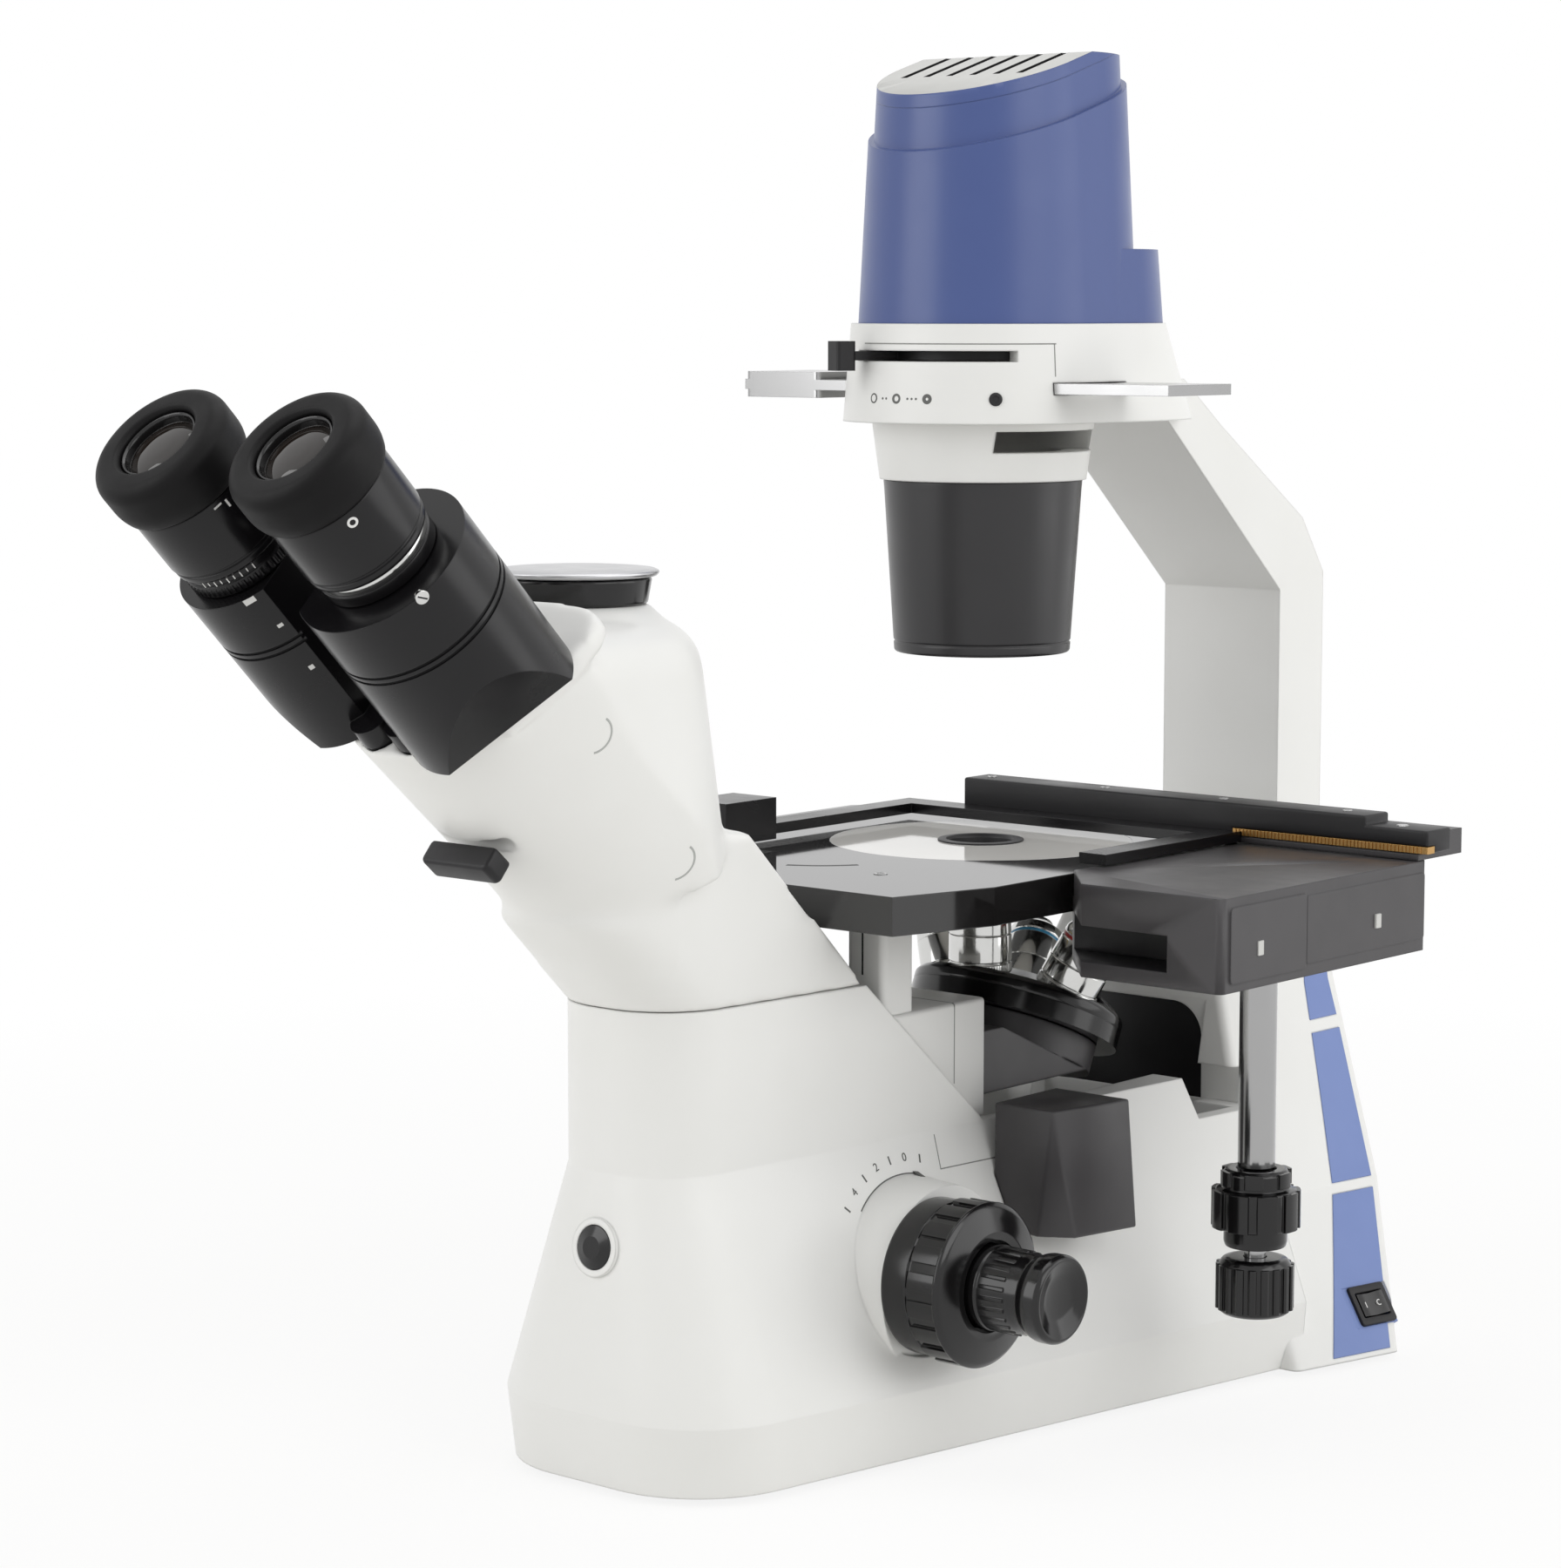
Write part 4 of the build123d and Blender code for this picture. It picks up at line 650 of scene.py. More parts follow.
for side, name in ((-1, "left"), (1, "right")):
    place = tubePlace(side)
    body = name + "_eye_tube"
    turned(name + "Eyecup", eyepiece["cup"], "rubber", name + "_eyecup", place)
    bm = bmesh.new()
    lathe(bm, roundedPath(eyepiece["lens"]), place)
    lathe(bm, roundedPath(eyepiece["cell"], 3), place, part=1)
    finishPiece(name + "EyeLens", bm, "lens", body, [name + "_eye_lens"], ["knob"])
    bm = bmesh.new()
    lathe(bm, roundedPath(eyepiece["barrel"]), place)
    if side > 0:
        mark = bmesh.new()
        lathe(mark, [(1, -0.2), (1.8, -0.2), (1.8, 0.1), (1, 0.1)], segments=32)
        addTo(bm, mark, onBarrel(place, eyepiece["barrelRadius"], *eyepiece["ringMark"]), 1)
    else:
        for across, quarter in ((-1.6, 0), (1.6, 90)):
            spot = onBarrel(place, eyepiece["barrelRadius"], *eyepiece["crossMark"]) @ shift(across / 2, across, 0)
            addTo(bm, slab(rectangle(1.5, 0.35), -0.25, 0.06), spot @ turn(quarter), 1)
    finishPiece(name + "EyepieceBarrel", bm, "tube", body, [name + "_ocular"], ["whiteInk"])
    bm = bmesh.new()
    lathe(bm, roundedPath(eyepiece["band"], 3), place)
    if side > 0:
        lathe(bm, roundedPath(eyepiece["bright"], 3), place, part=1)
        finishPiece("rightTubeRing", bm, "tube", body, ["tube_ring"], ["chrome"])
    else:
        lathe(bm, roundedPath(eyepiece["bright"], 3), place)
        rib = slab(ribOutline(0.2, 0.55, 0.5, 0.35), -48, -45, 0.1, 1)
        addRing(bm, rib, "tube", eyepiece["ribs"], eyepiece["ribRadius"], place)
        for step in range(-4, 5):
            low = -0.9 if step % 2 else -1.4
            degrees = eyepiece["tickMiddle"] + eyepiece["tickStep"] * step
            addTo(bm, slab([(low, -0.2), (0.6, -0.2), (0.6, 0.2), (low, 0.2)], -0.3, 0.05),
                  onBarrel(place, eyepiece["tickRadius"], degrees, eyepiece["tickHeight"]), 1)
        finishPiece("dioptreRing", bm, "tube", "diopter", ["diopter_ring"], ["whiteInk"])
print("stage: eyepieces")


# focus knobs on their common spindle

coarseKnob = {
    "axle": (0, -115, 68), "ribs": 18, "landWide": 6.4, "landTop": 29.6, "ring": 28.4,
    "right": [(7.1, 66), (26.4, 66, 0.8), (28.2, 67.4, 1.2), (28.2, 78, 0.4), (27.5, 78.5, 0.2), (27.5, 79.6, 0.2),
        (28.4, 80, 0.3), (28.4, 90.8, 0.3), (29.7, 91.4, 0.4), (29.7, 92.4, 0.8), (28, 93.6, 0.6),
        (19.4, 96, 0.5), (16.4, 95.6, 0.3), (16.4, 90), (7.1, 90)],
    "left": [(7.1, 66), (26.4, 66, 0.8), (28.2, 67.4, 1.2), (28.2, 70.6, 0.4), (27.5, 71, 0.2), (27.5, 72, 0.2),
        (28.4, 72.4, 0.3), (28.4, 81.2, 0.3), (29.7, 81.8, 0.4), (29.7, 82.6, 0.7), (28, 83.7, 0.6),
        (19.4, 86, 0.5), (16.4, 85.8, 0.3), (16.4, 80), (7.1, 80)],
    "rightLand": (79.9, 91.8), "leftLand": (72.3, 82.2), "spindle": [(3.6, -66), (7, -66), (7, 66), (3.6, 66)],
}
fineKnob = {
    # the ribs of a side: height, radius of the ring, low and high end
    "ribs": 24, "rightRib": (0.25, 14.9, 100.5, 111), "leftRib": (0.3, 15.6, 88.5, 94),
    "spindle": [(0, -80), (3.5, -80), (3.5, 90), (0, 90)],
    "right": [(0, 90.5), (15.4, 90.5), (15.4, 98.6, 0.4), (15, 99.4, 0.3), (14.6, 112, 1.5), (14, 116.4, 1.4),
        (15.4, 118.4, 0.9), (15.9, 120.5, 0.8), (15.9, 125.2, 1), (14.4, 126.8, 0.8), (12.4, 126, 0.8),
        (8, 124.4, 1.8), (0, 123.6)],
    "left": [(0, 80.5), (15.2, 80.5), (15.2, 87, 0.3), (15.6, 87.8, 0.4), (15.6, 95, 0.8), (14.2, 96.8, 0.8),
        (11, 96.2, 0.8), (0, 95.2)],
}
hand = {side: placed(coarseKnob["axle"], (sign, 0, 0), (0, 0, 1)) for side, sign in (("right", 1), ("left", -1))}
half, top = coarseKnob["landWide"] / 2, coarseKnob["landTop"] - coarseKnob["ring"]
bm = bmesh.new()
for side, place in hand.items():
    lathe(bm, roundedPath(coarseKnob[side]), place, 120)
    land = slab(landOutline(half, top, 0.35, half / 3, 0.8), *coarseKnob[side + "Land"], 0.4)
    addRing(bm, land, "knob", coarseKnob["ribs"], coarseKnob["ring"], place)
lathe(bm, coarseKnob["spindle"], hand["right"], 48)
finishPiece("coarseKnobs", bm, "knob", "coarse", ["coarse_knobs"])
bm = bmesh.new()
for side, place in hand.items():
    lathe(bm, roundedPath(fineKnob[side]), place)
    top, radius, low, high = fineKnob[side + "Rib"]
    addRing(bm, slab(ribOutline(0.4, 0.9, top, 0.5), low, high, 0.15, 1), "knob", fineKnob["ribs"], radius, place)
lathe(bm, fineKnob["spindle"], hand["right"], 32)
finishPiece("fineKnobs", bm, "knob", "fine", ["fine_knobs"])
print("stage: focus knobs")


# stage drive: rod, collar and the two knobs

stageDrive = {
    "rodAt": (140, -16, 0),
    "rod": [(0, 48), (4, 48), (4, 101.2), (6.6, 101.2, 0.3), (6.8, 101.8), (6.8, 173), (6.2, 173.4), (6.2, 176.5),
        (0, 176.5)],
    "yKnob": [(5, 72.2), (11, 72.2, 0.4), (11.6, 74, 0.5), (11.6, 78.4), (14.6, 79.2, 0.6), (15, 80), (15, 92.6),
        (14.6, 93.4, 0.6), (12.2, 93.8, 0.4), (12.2, 99.4, 0.4), (11, 101, 0.6), (7.4, 101, 0.3), (7, 99.6),
        (5, 99.6)],
    # lands of a knob: count, width, inner and outer radius, low and high end
    "yLands": (9, 7.6, 14, 16.2, 79.4, 93.2), "xLands": (18, 3, 12.4, 14.3, 49, 65.6),
    "collarLobes": 6, "collarRadius": 11.4, "collar": (95, 100.4),
    "xKnob": [(4.4, 47), (11.6, 47, 0.8), (13.2, 48.4, 0.5), (13.2, 65.6, 0.5), (11.8, 67.6, 0.8), (9.6, 68, 0.3),
        (4.4, 68)],
}
rodPlace = shift(*stageDrive["rodAt"])
turned("stageDriveRod", stageDrive["rod"], "steel", "drive_rod", rodPlace, 64, 3)
for key in ("y", "x"):
    bm = bmesh.new()
    lathe(bm, roundedPath(stageDrive[key + "Knob"]), rodPlace)
    count, wide, inner, outer, low, high = stageDrive[key + "Lands"]
    land = slab(landOutline(wide / 2, outer - inner, 0.5, wide / 4), low, high, 0.45)
    addRing(bm, land, "knob", count, inner, rodPlace)
    if key == "y":
        lobe = slab(landOutline(3.4, 1.7, 0.4, 2.4), *stageDrive["collar"], 0.4)
        addRing(bm, lobe, "knob", stageDrive["collarLobes"], stageDrive["collarRadius"], rodPlace)
    finishPiece(key + "StageKnob", bm, "knob", bodyOf[key + "_knob"], [key + "_knob"])
print("stage: stage drive")


# objectives on the nosepiece

nosepiece = {
    "centre": (0, 25.945, 144.449), "tilt": 24, "pitch": 28.4, "spacing": 72,
    "rim": [(39, -6.6), (41.4, -6.6, 0.5), (42, -5.4, 0.6), (42, -2.2, 0.8), (40.4, -0.2, 1), (39, -0.2)],
    "grip": [(35, -11, 0.3), (38.6, -11, 0.6), (40.2, -9, 0.6), (40.4, -6.4), (35, -6.4)],
    "ribs": 84, "ribRadius": 40.2, "barrelRibs": 72, "barrelRibRadius": 12.25,
}
objectives = {  # name: (place on the nosepiece, length, coloured ring, nose radius)
    "4x": (1, 30, "redRing", 9.5), "10x": (0, 37, "yellowRing", 8),
    "20x": (4, 39, "greenRing", 6.5), "40x": (3, 41, "skyRing", 5.5),
}
tilt = math.radians(nosepiece["tilt"])
dish = placed(nosepiece["centre"], (0, math.sin(tilt), math.cos(tilt)))
for name, (index, length, ring, nose) in objectives.items():
    place = dish @ turn(-90 + nosepiece["spacing"] * index) @ shift(nosepiece["pitch"], 0, 0)
    place = place @ turn(nosepiece["tilt"], "Y")
    seam, groove, front = length * 0.42, length * 0.7, length - 1.2
    bm = bmesh.new()
    lathe(bm, roundedPath([
        (0, -4.8), (9.6, -4.8, 0.4), (9.6, 0.2), (11.8, 0.2, 0.3), (12.4, 0.9, 0.3), (12.4, 4.2, 0.3),
        (11.9, 4.5, 0.15), (11.9, 4.9, 0.15), (12.3, 5.2, 0.2), (12.2, seam - 0.3, 0.2), (11.8, seam, 0.1),
        (12.1, seam + 0.3, 0.2), (11.7, groove, 0.4), (11.2, groove + 0.4), (11.2, groove + 1.8),
        (11.6, groove + 2.2, 0.3), (11.4, length * 0.84, 0.6), (nose, length * 0.955, 0.5),
        (nose - 0.6, length, 0.4), (nose - 2.4, length, 0.2), (nose - 3.2, front), (0, front)], 3), place)
    lathe(bm, [(10.6, groove + 0.5), (11.35, groove + 0.5), (11.35, groove + 1.7), (10.6, groove + 1.7)], place,
          part=1)
    lathe(bm, [(0, front + 0.1), (nose - 3, front + 0.1), (nose - 3.4, front + 0.5), (0, front + 0.8)], place, 48, 2)
    rib = slab(ribOutline(0.3, 0.34, 0.25, 0.12), 1.2, 3.9)
    addRing(bm, rib, "chrome", nosepiece["barrelRibs"], nosepiece["barrelRibRadius"], place)
    finishPiece("objective" + name, bm, "chrome", "nosepiece", ["objective_" + name], [ring, "glass"])

bm = bmesh.new()
lathe(bm, roundedPath(nosepiece["rim"]), dish, 128)
lathe(bm, roundedPath(nosepiece["grip"]), dish, 128, 1)
rib = slab(ribOutline(0.4, 0.8, 0.4, 0.3), -8.8, -6.8, 0.12, 1)
addRing(bm, rib, "steel", nosepiece["ribs"], nosepiece["ribRadius"], dish, 1)
finishPiece("nosepieceRim", bm, "knob", "nosepiece", (), ["steel"])
print("stage: objectives")


# condenser cone and photo port

condenser = [(30.6, 281, 0.3), (33, 281, 0.5), (33.7, 281.8, 0.4), (33.9, 284.6, 0.3), (33.5, 285, 0.15),
        (33.5, 285.4, 0.15),
        (33.95, 285.8, 0.3), (37.7, 343.4, 0.3), (38, 346.8, 0.2), (34.4, 346.8), (30.2, 286), (29.8, 282.6)]
turned("condenserCone", condenser, "cone", "condenser_cone", segments=144)
photoPort = {
    "centre": (0, -226, 0),
    "ring": [(19, 312), (24.2, 312, 0.4), (24.6, 312.8, 0.3), (25.9, 320.2, 0.3), (25.6, 320.9, 0.2), (19, 320.9)],
    "cap": [(0, 315.2), (18.5, 315.2, 0.5), (18.7, 321.1), (25, 321.1, 0.2), (27.4, 321.4, 0.6), (28.4, 322.4, 0.5),
        (28.3, 323.2, 0.4),
        (26.8, 323.9, 0.4), (26, 323.7, 0.2), (25.4, 324, 0.2), (20, 324.4, 2), (0, 324.5)],
}
portPlace = shift(*photoPort["centre"])
turned("portRing", photoPort["ring"], "knob", "port_ring", portPlace, 128)
turned("portCap", photoPort["cap"], "aluminium", "port_cap", portPlace, 128)
print("stage: condenser and photo port")


# head and neck: cast forms with soft blends

casting = {
    "voxel": 1.3, "rounds": 9, "chin": ((-60, -275, 184), (60, -212, 232)), "chinRounds": 70, "sharp": 60,
    "hoodTop": 45, "hoodHalf": 53.4, "hoodCorner": 24, "hoodFront": 118.4, "hoodBack": 127,
    "pad": (9.8, -308, 261.4), "padOut": (0.249, -0.639, -0.728), "padRadius": 6, "padProud": 0.7,
}


def soften(bm, verts, rounds):
    for _ in range(rounds):
        bmesh.ops.smooth_vert(bm, verts=verts, factor=0.5, use_axis_x=True, use_axis_y=True, use_axis_z=True)


def cast(name, shells, replaced):
    # melts shells into one skin, as a sand casting blends its forms, most of all in the chin box
    bm = bmesh.new()
    for shell in shells:
        addTo(bm, shell)
    bmesh.ops.recalc_face_normals(bm, faces=bm.faces)
    rough = helper("roughCasting", bm)
    modifier = rough.modifiers.new("skin", "REMESH")
    modifier.mode = "VOXEL"
    modifier.voxel_size = casting["voxel"]
    bm = baked(rough)
    bpy.data.objects.remove(rough)
    soften(bm, bm.verts, casting["rounds"])
    low, high = casting["chin"]
    near = [vert for vert in bm.verts if all(low[i] < vert.co[i] < high[i] for i in range(3))]
    soften(bm, near, casting["chinRounds"])
    return finishPiece(name, bm, "white", "stand", replaced, angle=casting["sharp"])


half, top, corner = casting["hoodHalf"], casting["hoodTop"], casting["hoodCorner"]
hood = slab(roundedPath([(-40, -8), (40, -8), (half, 24, 8), (half, top, corner),
        (-half, top, corner), (-half, 24, 8)], 8), -casting["hoodBack"], -casting["hoodFront"])
middle = tubePlace(1)
middle.translation.x = 0
hood.transform(middle)
# the pads close the ends of the two bores
pads = bmesh.new()
for side in (-1, 1):
    out, spot = (Vector((side * x, y, z)) for x, y, z in (casting["padOut"], casting["pad"]))
    bmesh.ops.create_uvsphere(pads, u_segments=24, v_segments=12, radius=casting["padRadius"],
            matrix=Matrix.Translation(spot - out * (casting["padRadius"] - casting["padProud"])))
head = cast("headCasting", [cadCopy("head_casting"), cadCopy("head_plugs"), cadCopy("neck_casting"), hood, pads],
        ["head_casting", "neck_casting"])
print("stage: head and neck")


# hole plugs in the head: a thin painted shadow, on one side of each plug only, where the cap meets the casting

headSkin = skinOf(meshCopy(head.data))
# each arc covers only part of the ring: the painted shadow lies on one side of the plug
plugs = {"spots": ((-266, 273), (-222.5, 226)), "radius": 6.2, "from": -80, "to": 60, "steps": 16,
        "width": 0.7, "reach": 100}
bm = bmesh.new()
for side in (-1, 1):
    for y, z in plugs["spots"]:
        guide = []
        for step in range(plugs["steps"] + 1):
            angle = math.radians(plugs["from"] + (plugs["to"] - plugs["from"]) * step / plugs["steps"])
            guide.append((side * plugs["reach"], y + plugs["radius"] * math.cos(angle),
                    z + plugs["radius"] * math.sin(angle)))
        inkStrip(bm, headSkin, guide, plugs["width"], (-side, 0, 0))
finishPiece("plugJoints", bm, "plugShadowLine", "stand", ["head_plugs"])


# lamp lid: pale top, blue rim flush with the shell, and vent walls coloured black as painted shade in the slots

lid = {"run": 17.5, "rim": 38, "steep": 0.55, "crown": 38.6, "crownFrom": 16, "crownSweep": 148,
       "crownSteps": 40, "crownLow": 503, "crownHigh": 506.7}
bm = cadCopy("lamp_lid")
# steep faces outside the rim turn blue; those inside it, the vent walls, take the black finish as painted shade
for face in bm.faces:
    if abs(face.normal.z) < lid["steep"]:
        spot = face.calc_center_median()
        reach = math.hypot(spot.x, spot.y - min(max(spot.y, 0), lid["run"]))
        face.material_index = 1 if reach > lid["rim"] else 2
# the crown closes the shell behind the lid
crown = []
for step in range(lid["crownSteps"] + 1):
    angle = math.radians(lid["crownFrom"] + lid["crownSweep"] * step / lid["crownSteps"])
    crown.append((lid["crown"] * math.cos(angle), lid["run"] + lid["crown"] * math.sin(angle)))
addTo(bm, slab(crown, lid["crownLow"], lid["crownHigh"]), part=1)
finishPiece("lampLid", bm, "pale", "stand", ["lamp_lid"], ["blue", "anodised"])


# carrier: panel joint, aperture marks and the clamp screw

carrier = {"reach": 90, "jointZ": 398.6, "jointFoot": 386.5, "from": -112, "to": -21.5, "steps": 64,
        "jointHalf": 0.22, "jointPiece": 0.75, "joint": (-0.3, 0.05), "markZ": 378.3, "mark": (-0.3, 0.06),
        "rings": ((-103, 1.35), (-90, 1), (-75.5, 0.55)), "ringOuter": 1.9,
        "dots": (-97.5, -95.5, -84.5, -82.5, -80.5), "dotRadius": 0.45,
        "screwAt": -47.3, "screwRadius": 2.5, "screwTall": 0.5}
carrierSkin = skinOf(cadCopy("lamp_carrier"))


def carrierSpot(degrees, z):
    angle = math.radians(degrees)
    start = Vector((carrier["reach"] * math.cos(angle), carrier["reach"] * math.sin(angle), z))
    spot, normal = carrierSkin.ray_cast(start, Vector((-start.x, -start.y, 0)).normalized())[:2]
    return placed(spot, normal, (-start.y, start.x, 0))


def carrierMark(bm, degrees, inner, outer, segments):
    low, high = carrier["mark"]
    lathe(bm, [(inner, low), (outer, low), (outer, high), (inner, high)], carrierSpot(degrees, carrier["markZ"]),
          segments)


bm = bmesh.new()
thin = carrier["jointHalf"]
for step in range(carrier["steps"] + 1):
    degrees = carrier["from"] + (carrier["to"] - carrier["from"]) * step / carrier["steps"]
    place = carrierSpot(degrees, carrier["jointZ"])
    addTo(bm, slab(rectangle(carrier["jointPiece"], thin), *carrier["joint"]), place)
foot = carrier["jointFoot"] - carrier["jointZ"]
addTo(bm, slab([(-thin, foot), (thin, foot), (thin, 0.2), (-thin, 0.2)], *carrier["joint"]), place)
finishPiece("carrierJoint", bm, "seam", "stand")
bm = bmesh.new()
for degrees, inner in carrier["rings"]:
    carrierMark(bm, degrees, inner, carrier["ringOuter"], 32)
for degrees in carrier["dots"]:
    carrierMark(bm, degrees, 0, carrier["dotRadius"], 16)
finishPiece("apertureMarks", bm, "greyInk", "stand")
bm = socketScrew(carrier["screwRadius"], carrier["screwTall"])
bm.transform(carrierSpot(carrier["screwAt"], carrier["markZ"]))
finishPiece("clampScrew", bm, "anodised", "stand")


# base: coarse scale, cover joints and dark keys in the stage posts

scale = {"centre": (-104, 63), "reach": 70, "inner": 40.6, "outer": 43.6, "first": 137, "step": -10.4,
        "marks": "|4|2|0|", "figure": 3.2, "line": 0.7, "arrow": 36.6, "arrowFrom": 132, "arrowTo": 80,
        "arrowSteps": 24, "arrowLine": 0.5, "tip": (81, 77), "tipLine": 1.5}
baseSkin = skinOf(cadCopy("base_casting"))
housingSkin = skinOf(cadCopy("focus_housing"))
postSkin = skinOf(cadCopy("stage_posts"))
toLeft, toRear, down = (-1, 0, 0), (0, 1, 0), (0, 0, -1)


def scalePoint(radius, degrees):
    angle = math.radians(degrees)
    y, z = scale["centre"]
    return Vector((scale["reach"], y + radius * math.cos(angle), z + radius * math.sin(angle)))


bm = bmesh.new()
for k, mark in enumerate(scale["marks"]):
    degrees = scale["first"] + scale["step"] * k
    if mark == "|":
        tick = [scalePoint(scale[end], degrees) for end in ("inner", "outer")]
        inkStrip(bm, baseSkin, tick, scale["line"], toLeft)
    else:
        start = scalePoint((scale["inner"] + scale["outer"]) / 2, degrees)
        spot, normal = baseSkin.ray_cast(start, Vector(toLeft))[:2]
        angle = math.radians(degrees)
        addTo(bm, digit(mark, scale["figure"], placed(spot, normal, (0, math.sin(angle), -math.cos(angle)))))
sweep = (scale["arrowTo"] - scale["arrowFrom"]) / scale["arrowSteps"]
arc = [scalePoint(scale["arrow"], scale["arrowFrom"] + sweep * k) for k in range(scale["arrowSteps"] + 1)]
inkStrip(bm, baseSkin, arc, scale["arrowLine"], toLeft)
inkStrip(bm, baseSkin, [scalePoint(scale["arrow"], degrees) for degrees in scale["tip"]], scale["tipLine"], toLeft)
finishPiece("coarseScale", bm, "greyInk", "stand")
joints = (  # surface, start, end, steps, width, direction of sight
    (baseSkin, (70, -82, 110.5), (70, -84, 98.6), 6, 0.4, toLeft),
    (baseSkin, (70, -84.2, 98.6), (70, -50, 98.6), 16, 0.4, toLeft),
    (housingSkin, (60, -66.9, 117), (60, -66.9, 156.6), 8, 0.45, toLeft),
    (housingSkin, (39.6, -66.9, 170), (-39.6, -66.9, 170), 8, 0.45, down),
)
keys = [(postSkin, (x, -130, 171.5), (x, -130, 192.5), 4, 0.8, toRear) for x in (-30.5, 29)]
for name, lines, finish in (("coverJoints", joints, "seam"), ("postKeys", keys, "anodised")):
    bm = bmesh.new()
    for skin, start, end, steps, width, look in lines:
        inkStrip(bm, skin, evenly(start, end, steps), width, look)
    finishPiece(name, bm, finish, "stand")


# drive box: hand opening with painted shade inside, cover plates and their catches

driveBox = {"cover": [(-76.5, 179, 2), (-29, 179, 1), (-29, 206, 1), (-76.5, 206, 2)],
        "strip": [(-28.2, 180.5, 0.6), (50, 180.5, 1.5), (50, 205, 1.5), (-28.2, 205, 0.6)],
        "opening": ((70, 145), (-100, -58), (181.5, 194.5)), "openingCut": 3, "left": 82, "right": 168,
        "catches": ((-58.3, 190), (17.8, 190.7)), "catch": (3.4, 5.2, 0.4)}
(x0, x1), (y0, y1), (z0, z1) = driveBox["opening"]
cut = driveBox["openingCut"]
opening = slab(roundedPath([(x0, y0), (x1, y0), (x1, y1, cut), (x0, y1, cut)]), z0, z1, 1.2)
bm = carve(cadCopy("drive_box"), opening)
# faces inside the hand opening take the black finish: painted shade of the recess
near, wall = 0.1, 1.5
for face in bm.faces:
    spot = face.calc_center_median()
    acrossIn = driveBox["left"] + near < spot.x < x1 + near
    if acrossIn and y0 < spot.y < y1 + near and z0 - near < spot.z < z1 + near:
        inShade = abs(spot.y - y1) < wall or abs(spot.x - x1) < wall or abs(face.normal.z) > 0.5
        face.material_index = 1 if inShade else 0
rightFace = placed((driveBox["right"], 0, 0), (1, 0, 0), (0, 1, 0))
addTo(bm, slab(roundedPath(driveBox["cover"]), -0.6, 0.7, 0.3), rightFace)
addTo(bm, slab(roundedPath(driveBox["strip"]), -0.6, 0.35, 0.15, 1), rightFace)
for y, z in driveBox["catches"]:
    addTo(bm, slab(roundedBox(*driveBox["catch"]), 0, 1.1, 0.2), rightFace @ shift(y, z, 0), 2)
finishPiece("driveBox", bm, "box", bodyOf["drive_box"], ["drive_box"], ["anodised", "pale"])
print("stage: joints, marks and drive box")


# stage: slit drawn as a black strip of painted shade, eye of the insert and screws

stageTop = 207.6
slot = {"from": (-11.5, -102, 260), "to": (8.5, -84.8, 260), "bow": (1.4, -1.6, 0), "steps": 12, "width": 2.4,
        "lift": 0.05}
insertEye = [(12.4, 204.6), (13.9, 204.6), (13.9, 207.6), (16.6, 207.6), (16.6, 208.2, 0.3), (13.4, 208.4, 0.3),
        (12.4, 207.2, 0.3)]
bm = bmesh.new()
# the slit is not cut: a black strip on the stage top stands for the painted shade inside it
guide = [point + Vector(slot["bow"]) * math.sin(math.pi * k / slot["steps"])
        for k, point in enumerate(evenly(slot["from"], slot["to"], slot["steps"]))]
inkStrip(bm, skinOf(cadCopy("stage_plate")), guide, slot["width"], down, slot["lift"])
lathe(bm, roundedPath(insertEye, 3))
finishPiece("insertEye", bm, "anodised", "stand")
screws = {  # name: (CAD node they sit in, radius, spots)
    "stageScrews": ("stage_plate", 2.6,
        [(x, y, stageTop) for x, y in ((-30, -98), (30, -98), (-92, -40), (-92, 60))]),
    "barScrews": ("x_bar", 1.9, [(x, 53.8, 224.6) for x in (-36, 20, 76, 132)]),
}
for name, (node, radius, spots) in screws.items():
    finishPiece(name, repeat(spotTree, socketScrew(radius, 0.35), "steel", spots), "steel", bodyOf[node])

rackLow, rackHigh = ((corner - axis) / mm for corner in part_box("x_rack"))
rack = {"pitch": 1.6, "tooth": 0.85, "deep": 0.45, "root": 0.2, "inset": 0.1, "first": 1.4, "spare": 2}
wide, tip = rack["tooth"] / 2, rack["tooth"] / 4
tooth = slab([(-wide, rack["root"]), (-tip, -rack["deep"]), (tip, -rack["deep"]), (wide, rack["root"])],
        rackLow.z + rack["inset"], rackHigh.z - rack["inset"])
count = int((rackHigh.x - rackLow.x - rack["spare"]) / rack["pitch"])
bm = repeat(rowTree, tooth, "brass", Count=count, Start=(rackLow.x + rack["first"], rackLow.y, 0),
        Pitch=(rack["pitch"], 0, 0))
finishPiece("rackTeeth", bm, "brass", bodyOf["x_rack"])


# filter slider grip: a block that leans out, with one long triangular flat

grip = {"top": [(52, -58, 120), (79, -58, 120), (86, -20, 120), (52, -20, 120)],
        "foot": [(52, -58, 74), (72, -58, 72), (84, -50, 72), (90, -20, 72), (52, -20, 74)],
        "faces": ((0, 1, 2, 3), (8, 7, 6, 5, 4), (4, 5, 1, 0), (5, 6, 1), (6, 7, 2, 1), (7, 8, 3, 2), (8, 4, 0, 3)),
        "edge": 0.9, "start": 51.8}
bm = bmesh.new()
corners = [bm.verts.new(point) for point in grip["top"] + grip["foot"]]
for loop in grip["faces"]:
    bm.faces.new([corners[k] for k in loop])
bmesh.ops.recalc_face_normals(bm, faces=bm.faces)
breakEdges(bm, bm.edges[:], grip["edge"], 3)
inner = cadCopy("filter_slider")
cutAway(inner, (grip["start"], 0, 0), (1, 0, 0))
addTo(bm, inner)
finishPiece("filterSlider", bm, "box", "filter", ["filter_slider"])
print("stage: stage details and filter slider")


# power switch: blue surround flush with the strip, black frame and rocker

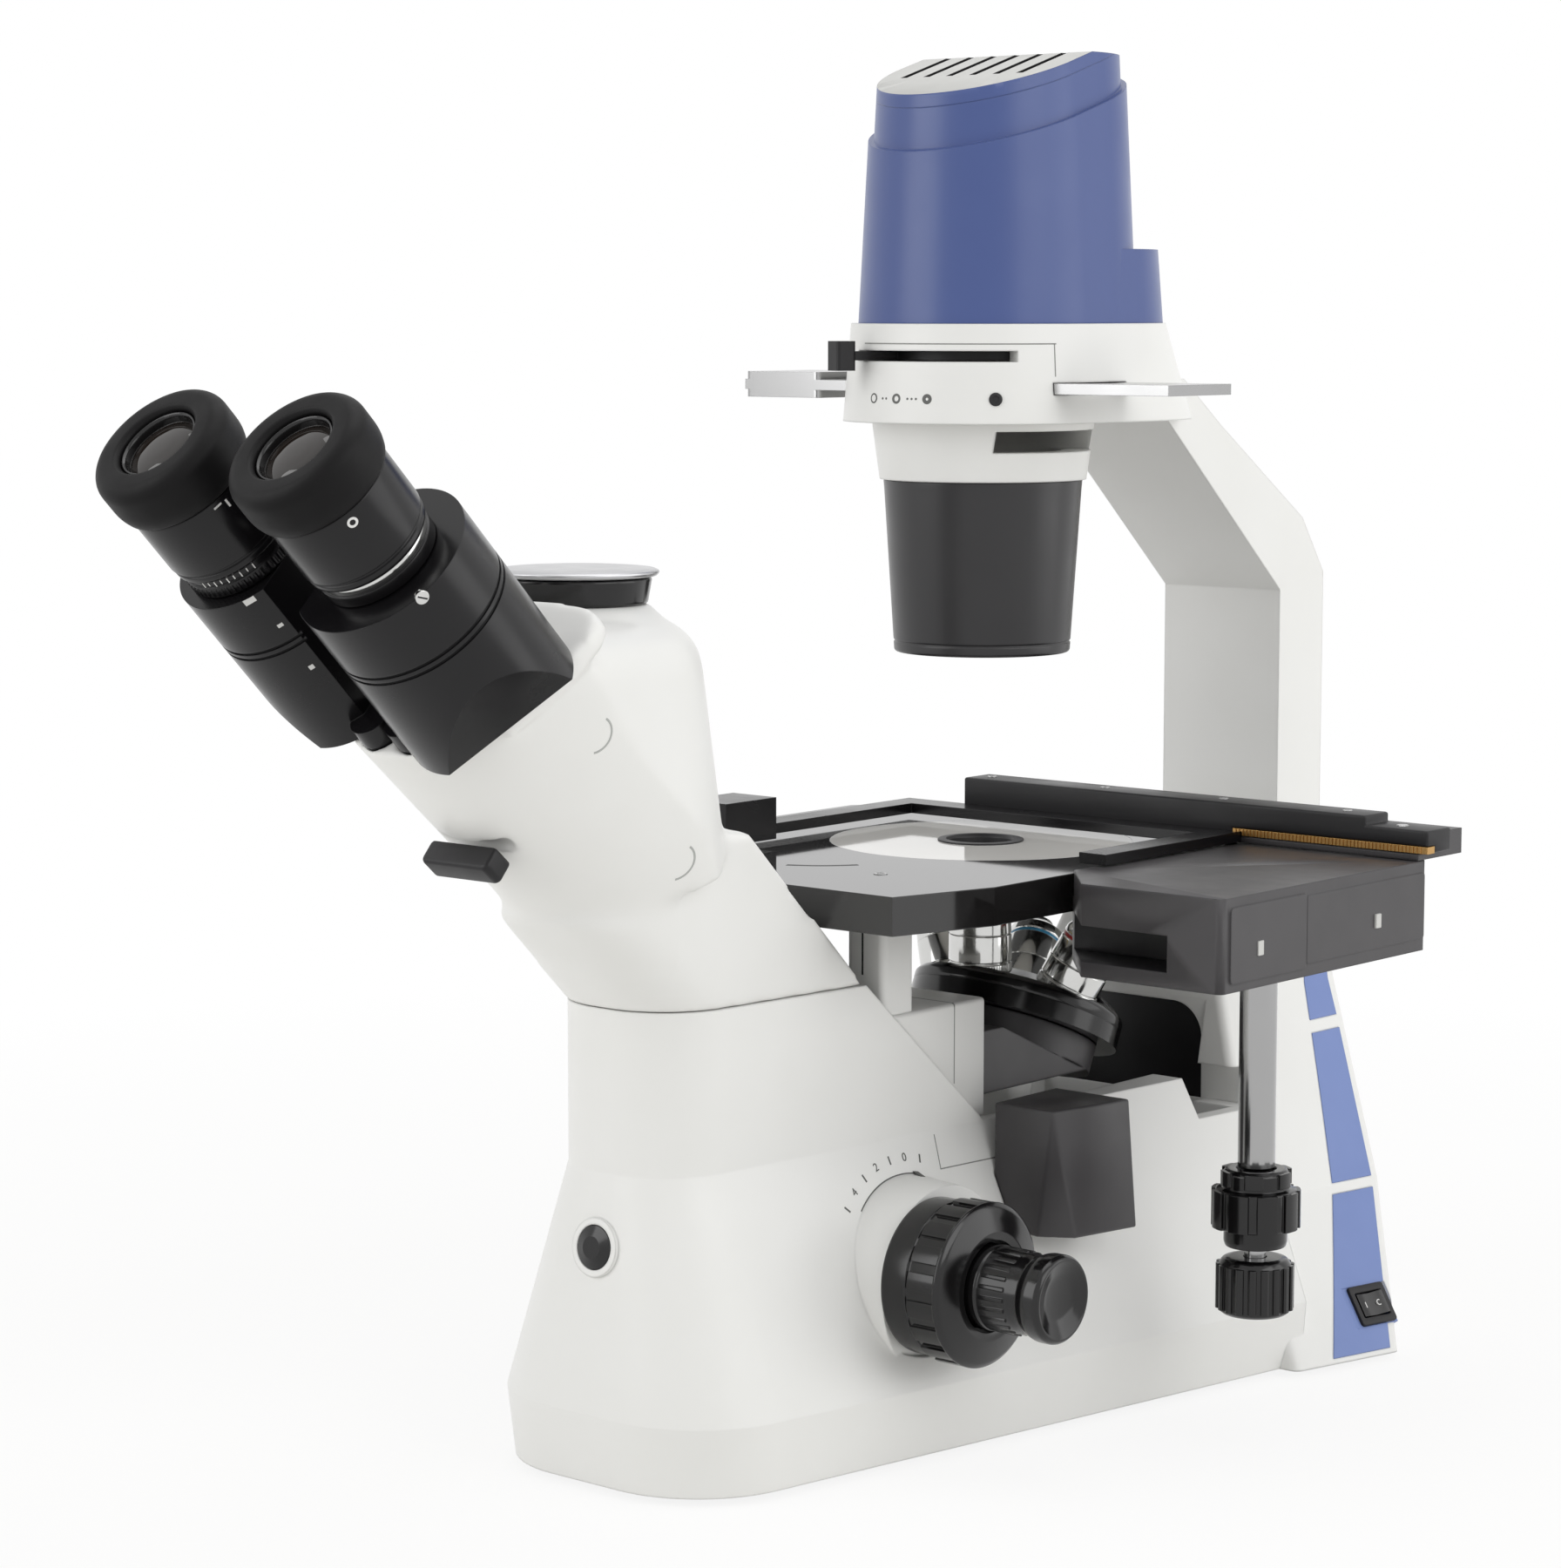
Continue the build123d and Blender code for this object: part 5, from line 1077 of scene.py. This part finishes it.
switch = {"pivot": (108.37, 113.63, 20), "along": (0.214, 0.977, 0), "rise": (-0.561448, 0.122945, 0.818328),
        "surround": (24.4, 17.4), "surroundEnd": 10.2, "frame": (19, 16.6), "window": (14.2, 10.4),
        "rocker": 6.6, "play": 0.5, "markAt": 3.4}
switchPlace = placed(switch["pivot"], Vector(switch["along"]).cross(Vector(switch["rise"])), switch["along"])
bm = bmesh.new()
window = roundedBox(*switch["window"], 0.6)
surround = [(min(x, switch["surroundEnd"]), y) for x, y in roundedBox(*switch["surround"], 0.6)]
addTo(bm, frameRing(surround, window, -2, 0.1), switchPlace, 1)
ring = frameRing(roundedBox(*switch["frame"], 1.6), window, -1, 1.5)
bmesh.ops.recalc_face_normals(ring, faces=ring.faces)
rim = [edge for edge in ring.edges if len(edge.link_faces) == 2 and edge.calc_face_angle(0) > 1.2
       and all(vert.co.z > 1 for vert in edge.verts)]
breakEdges(ring, rim, 0.5, 3, False)
addTo(bm, ring, switchPlace)
addTo(bm, slab(window, -3.8, -3.4), switchPlace)
finishPiece("switchFrame", bm, "abs", "stand", ["switch_frame"], ["inlay"])
half, reach = switch["rocker"], switch["window"][1] / 2 - switch["play"]
bm = slab([(-half, -2), (half, -2), (half, 2.3), (0.4, 0.5), (-half, 1.5)], -reach, reach, 0.35)
bm.transform(switchPlace @ turn(90, "X"))
marks = bmesh.new()
lathe(marks, [(0.9, 1), (1.25, 1), (1.25, 1.55), (0.9, 1.55)], shift(switch["markAt"], 0, 0), 32)
addTo(marks, slab(rectangle(0.2, 1.2), 0.6, 1.12), shift(-switch["markAt"], 0, 0))
addTo(bm, marks, switchPlace, 1)
finishPiece("powerRocker", bm, "knob", "rocker", ["power_rocker"], ["whiteInk"])


# rounded copies of solids: the selector without its stem, the focus housing and the cross bar with two pins

selector = {"out": Vector((0, -0.66, -0.751)).normalized(), "depth": 8.6}
bm = cadCopy("path_selector", 1.4)
front = max(vert.co.dot(selector["out"]) for vert in bm.verts)
cutAway(bm, selector["out"] * (front - selector["depth"]), -selector["out"])
finishPiece("pathSelector", bm, "abs", bodyOf["path_selector"], ["path_selector"])
finishPiece("focusHousing", cadCopy("focus_housing", 1.6), "white", bodyOf["focus_housing"], ["focus_housing"])
bar = {"y": 53.8, "pinFoot": 217, "pins": ((156, 2.3, 221.4, 0.5), (165, 1.6, 220.4, 0.4))}
bm = cadCopy("x_bar", 1)
for x, radius, top, cut in bar["pins"]:
    outline = [(0, bar["pinFoot"]), (radius, bar["pinFoot"]), (radius, top, cut), (0, top)]
    lathe(bm, roundedPath(outline), shift(x, bar["y"], 0), 32, 1)
finishPiece("crossBar", bm, "abs", bodyOf["x_bar"], ["x_bar"], ["steel"])
print("stage: switch and rounded parts")


# small marks on the tubes: a slotted set screw on the right one, its slot a black bar of painted shade, and index
# marks on the left one

tubeMarks = {  # plates: place, half width and half height of each
    "screw": (58.8, -356.7, 323.8), "screwRadius": 2.3, "slotTurn": 35,
    "plates": (((-15.4, -360.7, 319.4), 1.1, 2), ((-13.4, -349.6, 311.1), 0.7, 1),
        ((-13.8, -335.9, 296.7), 0.9, 0.9)),
    "plateOut": (0.70, -0.50, -0.50), "plateUp": (0, -0.707, 0.707),
}
tube = tubePlace(1)
local = tube.inverted() @ Vector(tubeMarks["screw"])
out = tube.to_3x3() @ Vector((local.x, local.y, 0)).normalized()
along = tube.to_3x3() @ Vector((0, 0, 1))
screwPlace = placed(tubeMarks["screw"], out, along)
bm = bmesh.new()
radius = tubeMarks["screwRadius"]
lathe(bm, roundedPath([(0, -1.2), (radius, -1.2), (radius, 0.25, 0.15), (0, 0.35)]), screwPlace, 40)
# the slot is a black bar in the screw head, painted shade standing in for the cut
addTo(bm, slab(rectangle(radius * 0.75, 0.3), 0.1, 0.42), screwPlace @ turn(tubeMarks["slotTurn"]), 1)
finishPiece("tubeSetScrew", bm, "chrome", "right_eye_tube", (), ["anodised"])
bm = bmesh.new()
for place, wide, tall in tubeMarks["plates"]:
    addTo(bm, slab(rectangle(wide, tall), -0.4, 0.08), placed(place, tubeMarks["plateOut"], tubeMarks["plateUp"]))
finishPiece("leftTubeMarks", bm, "whiteInk", "left_eye_tube")
print("stage: tube marks")
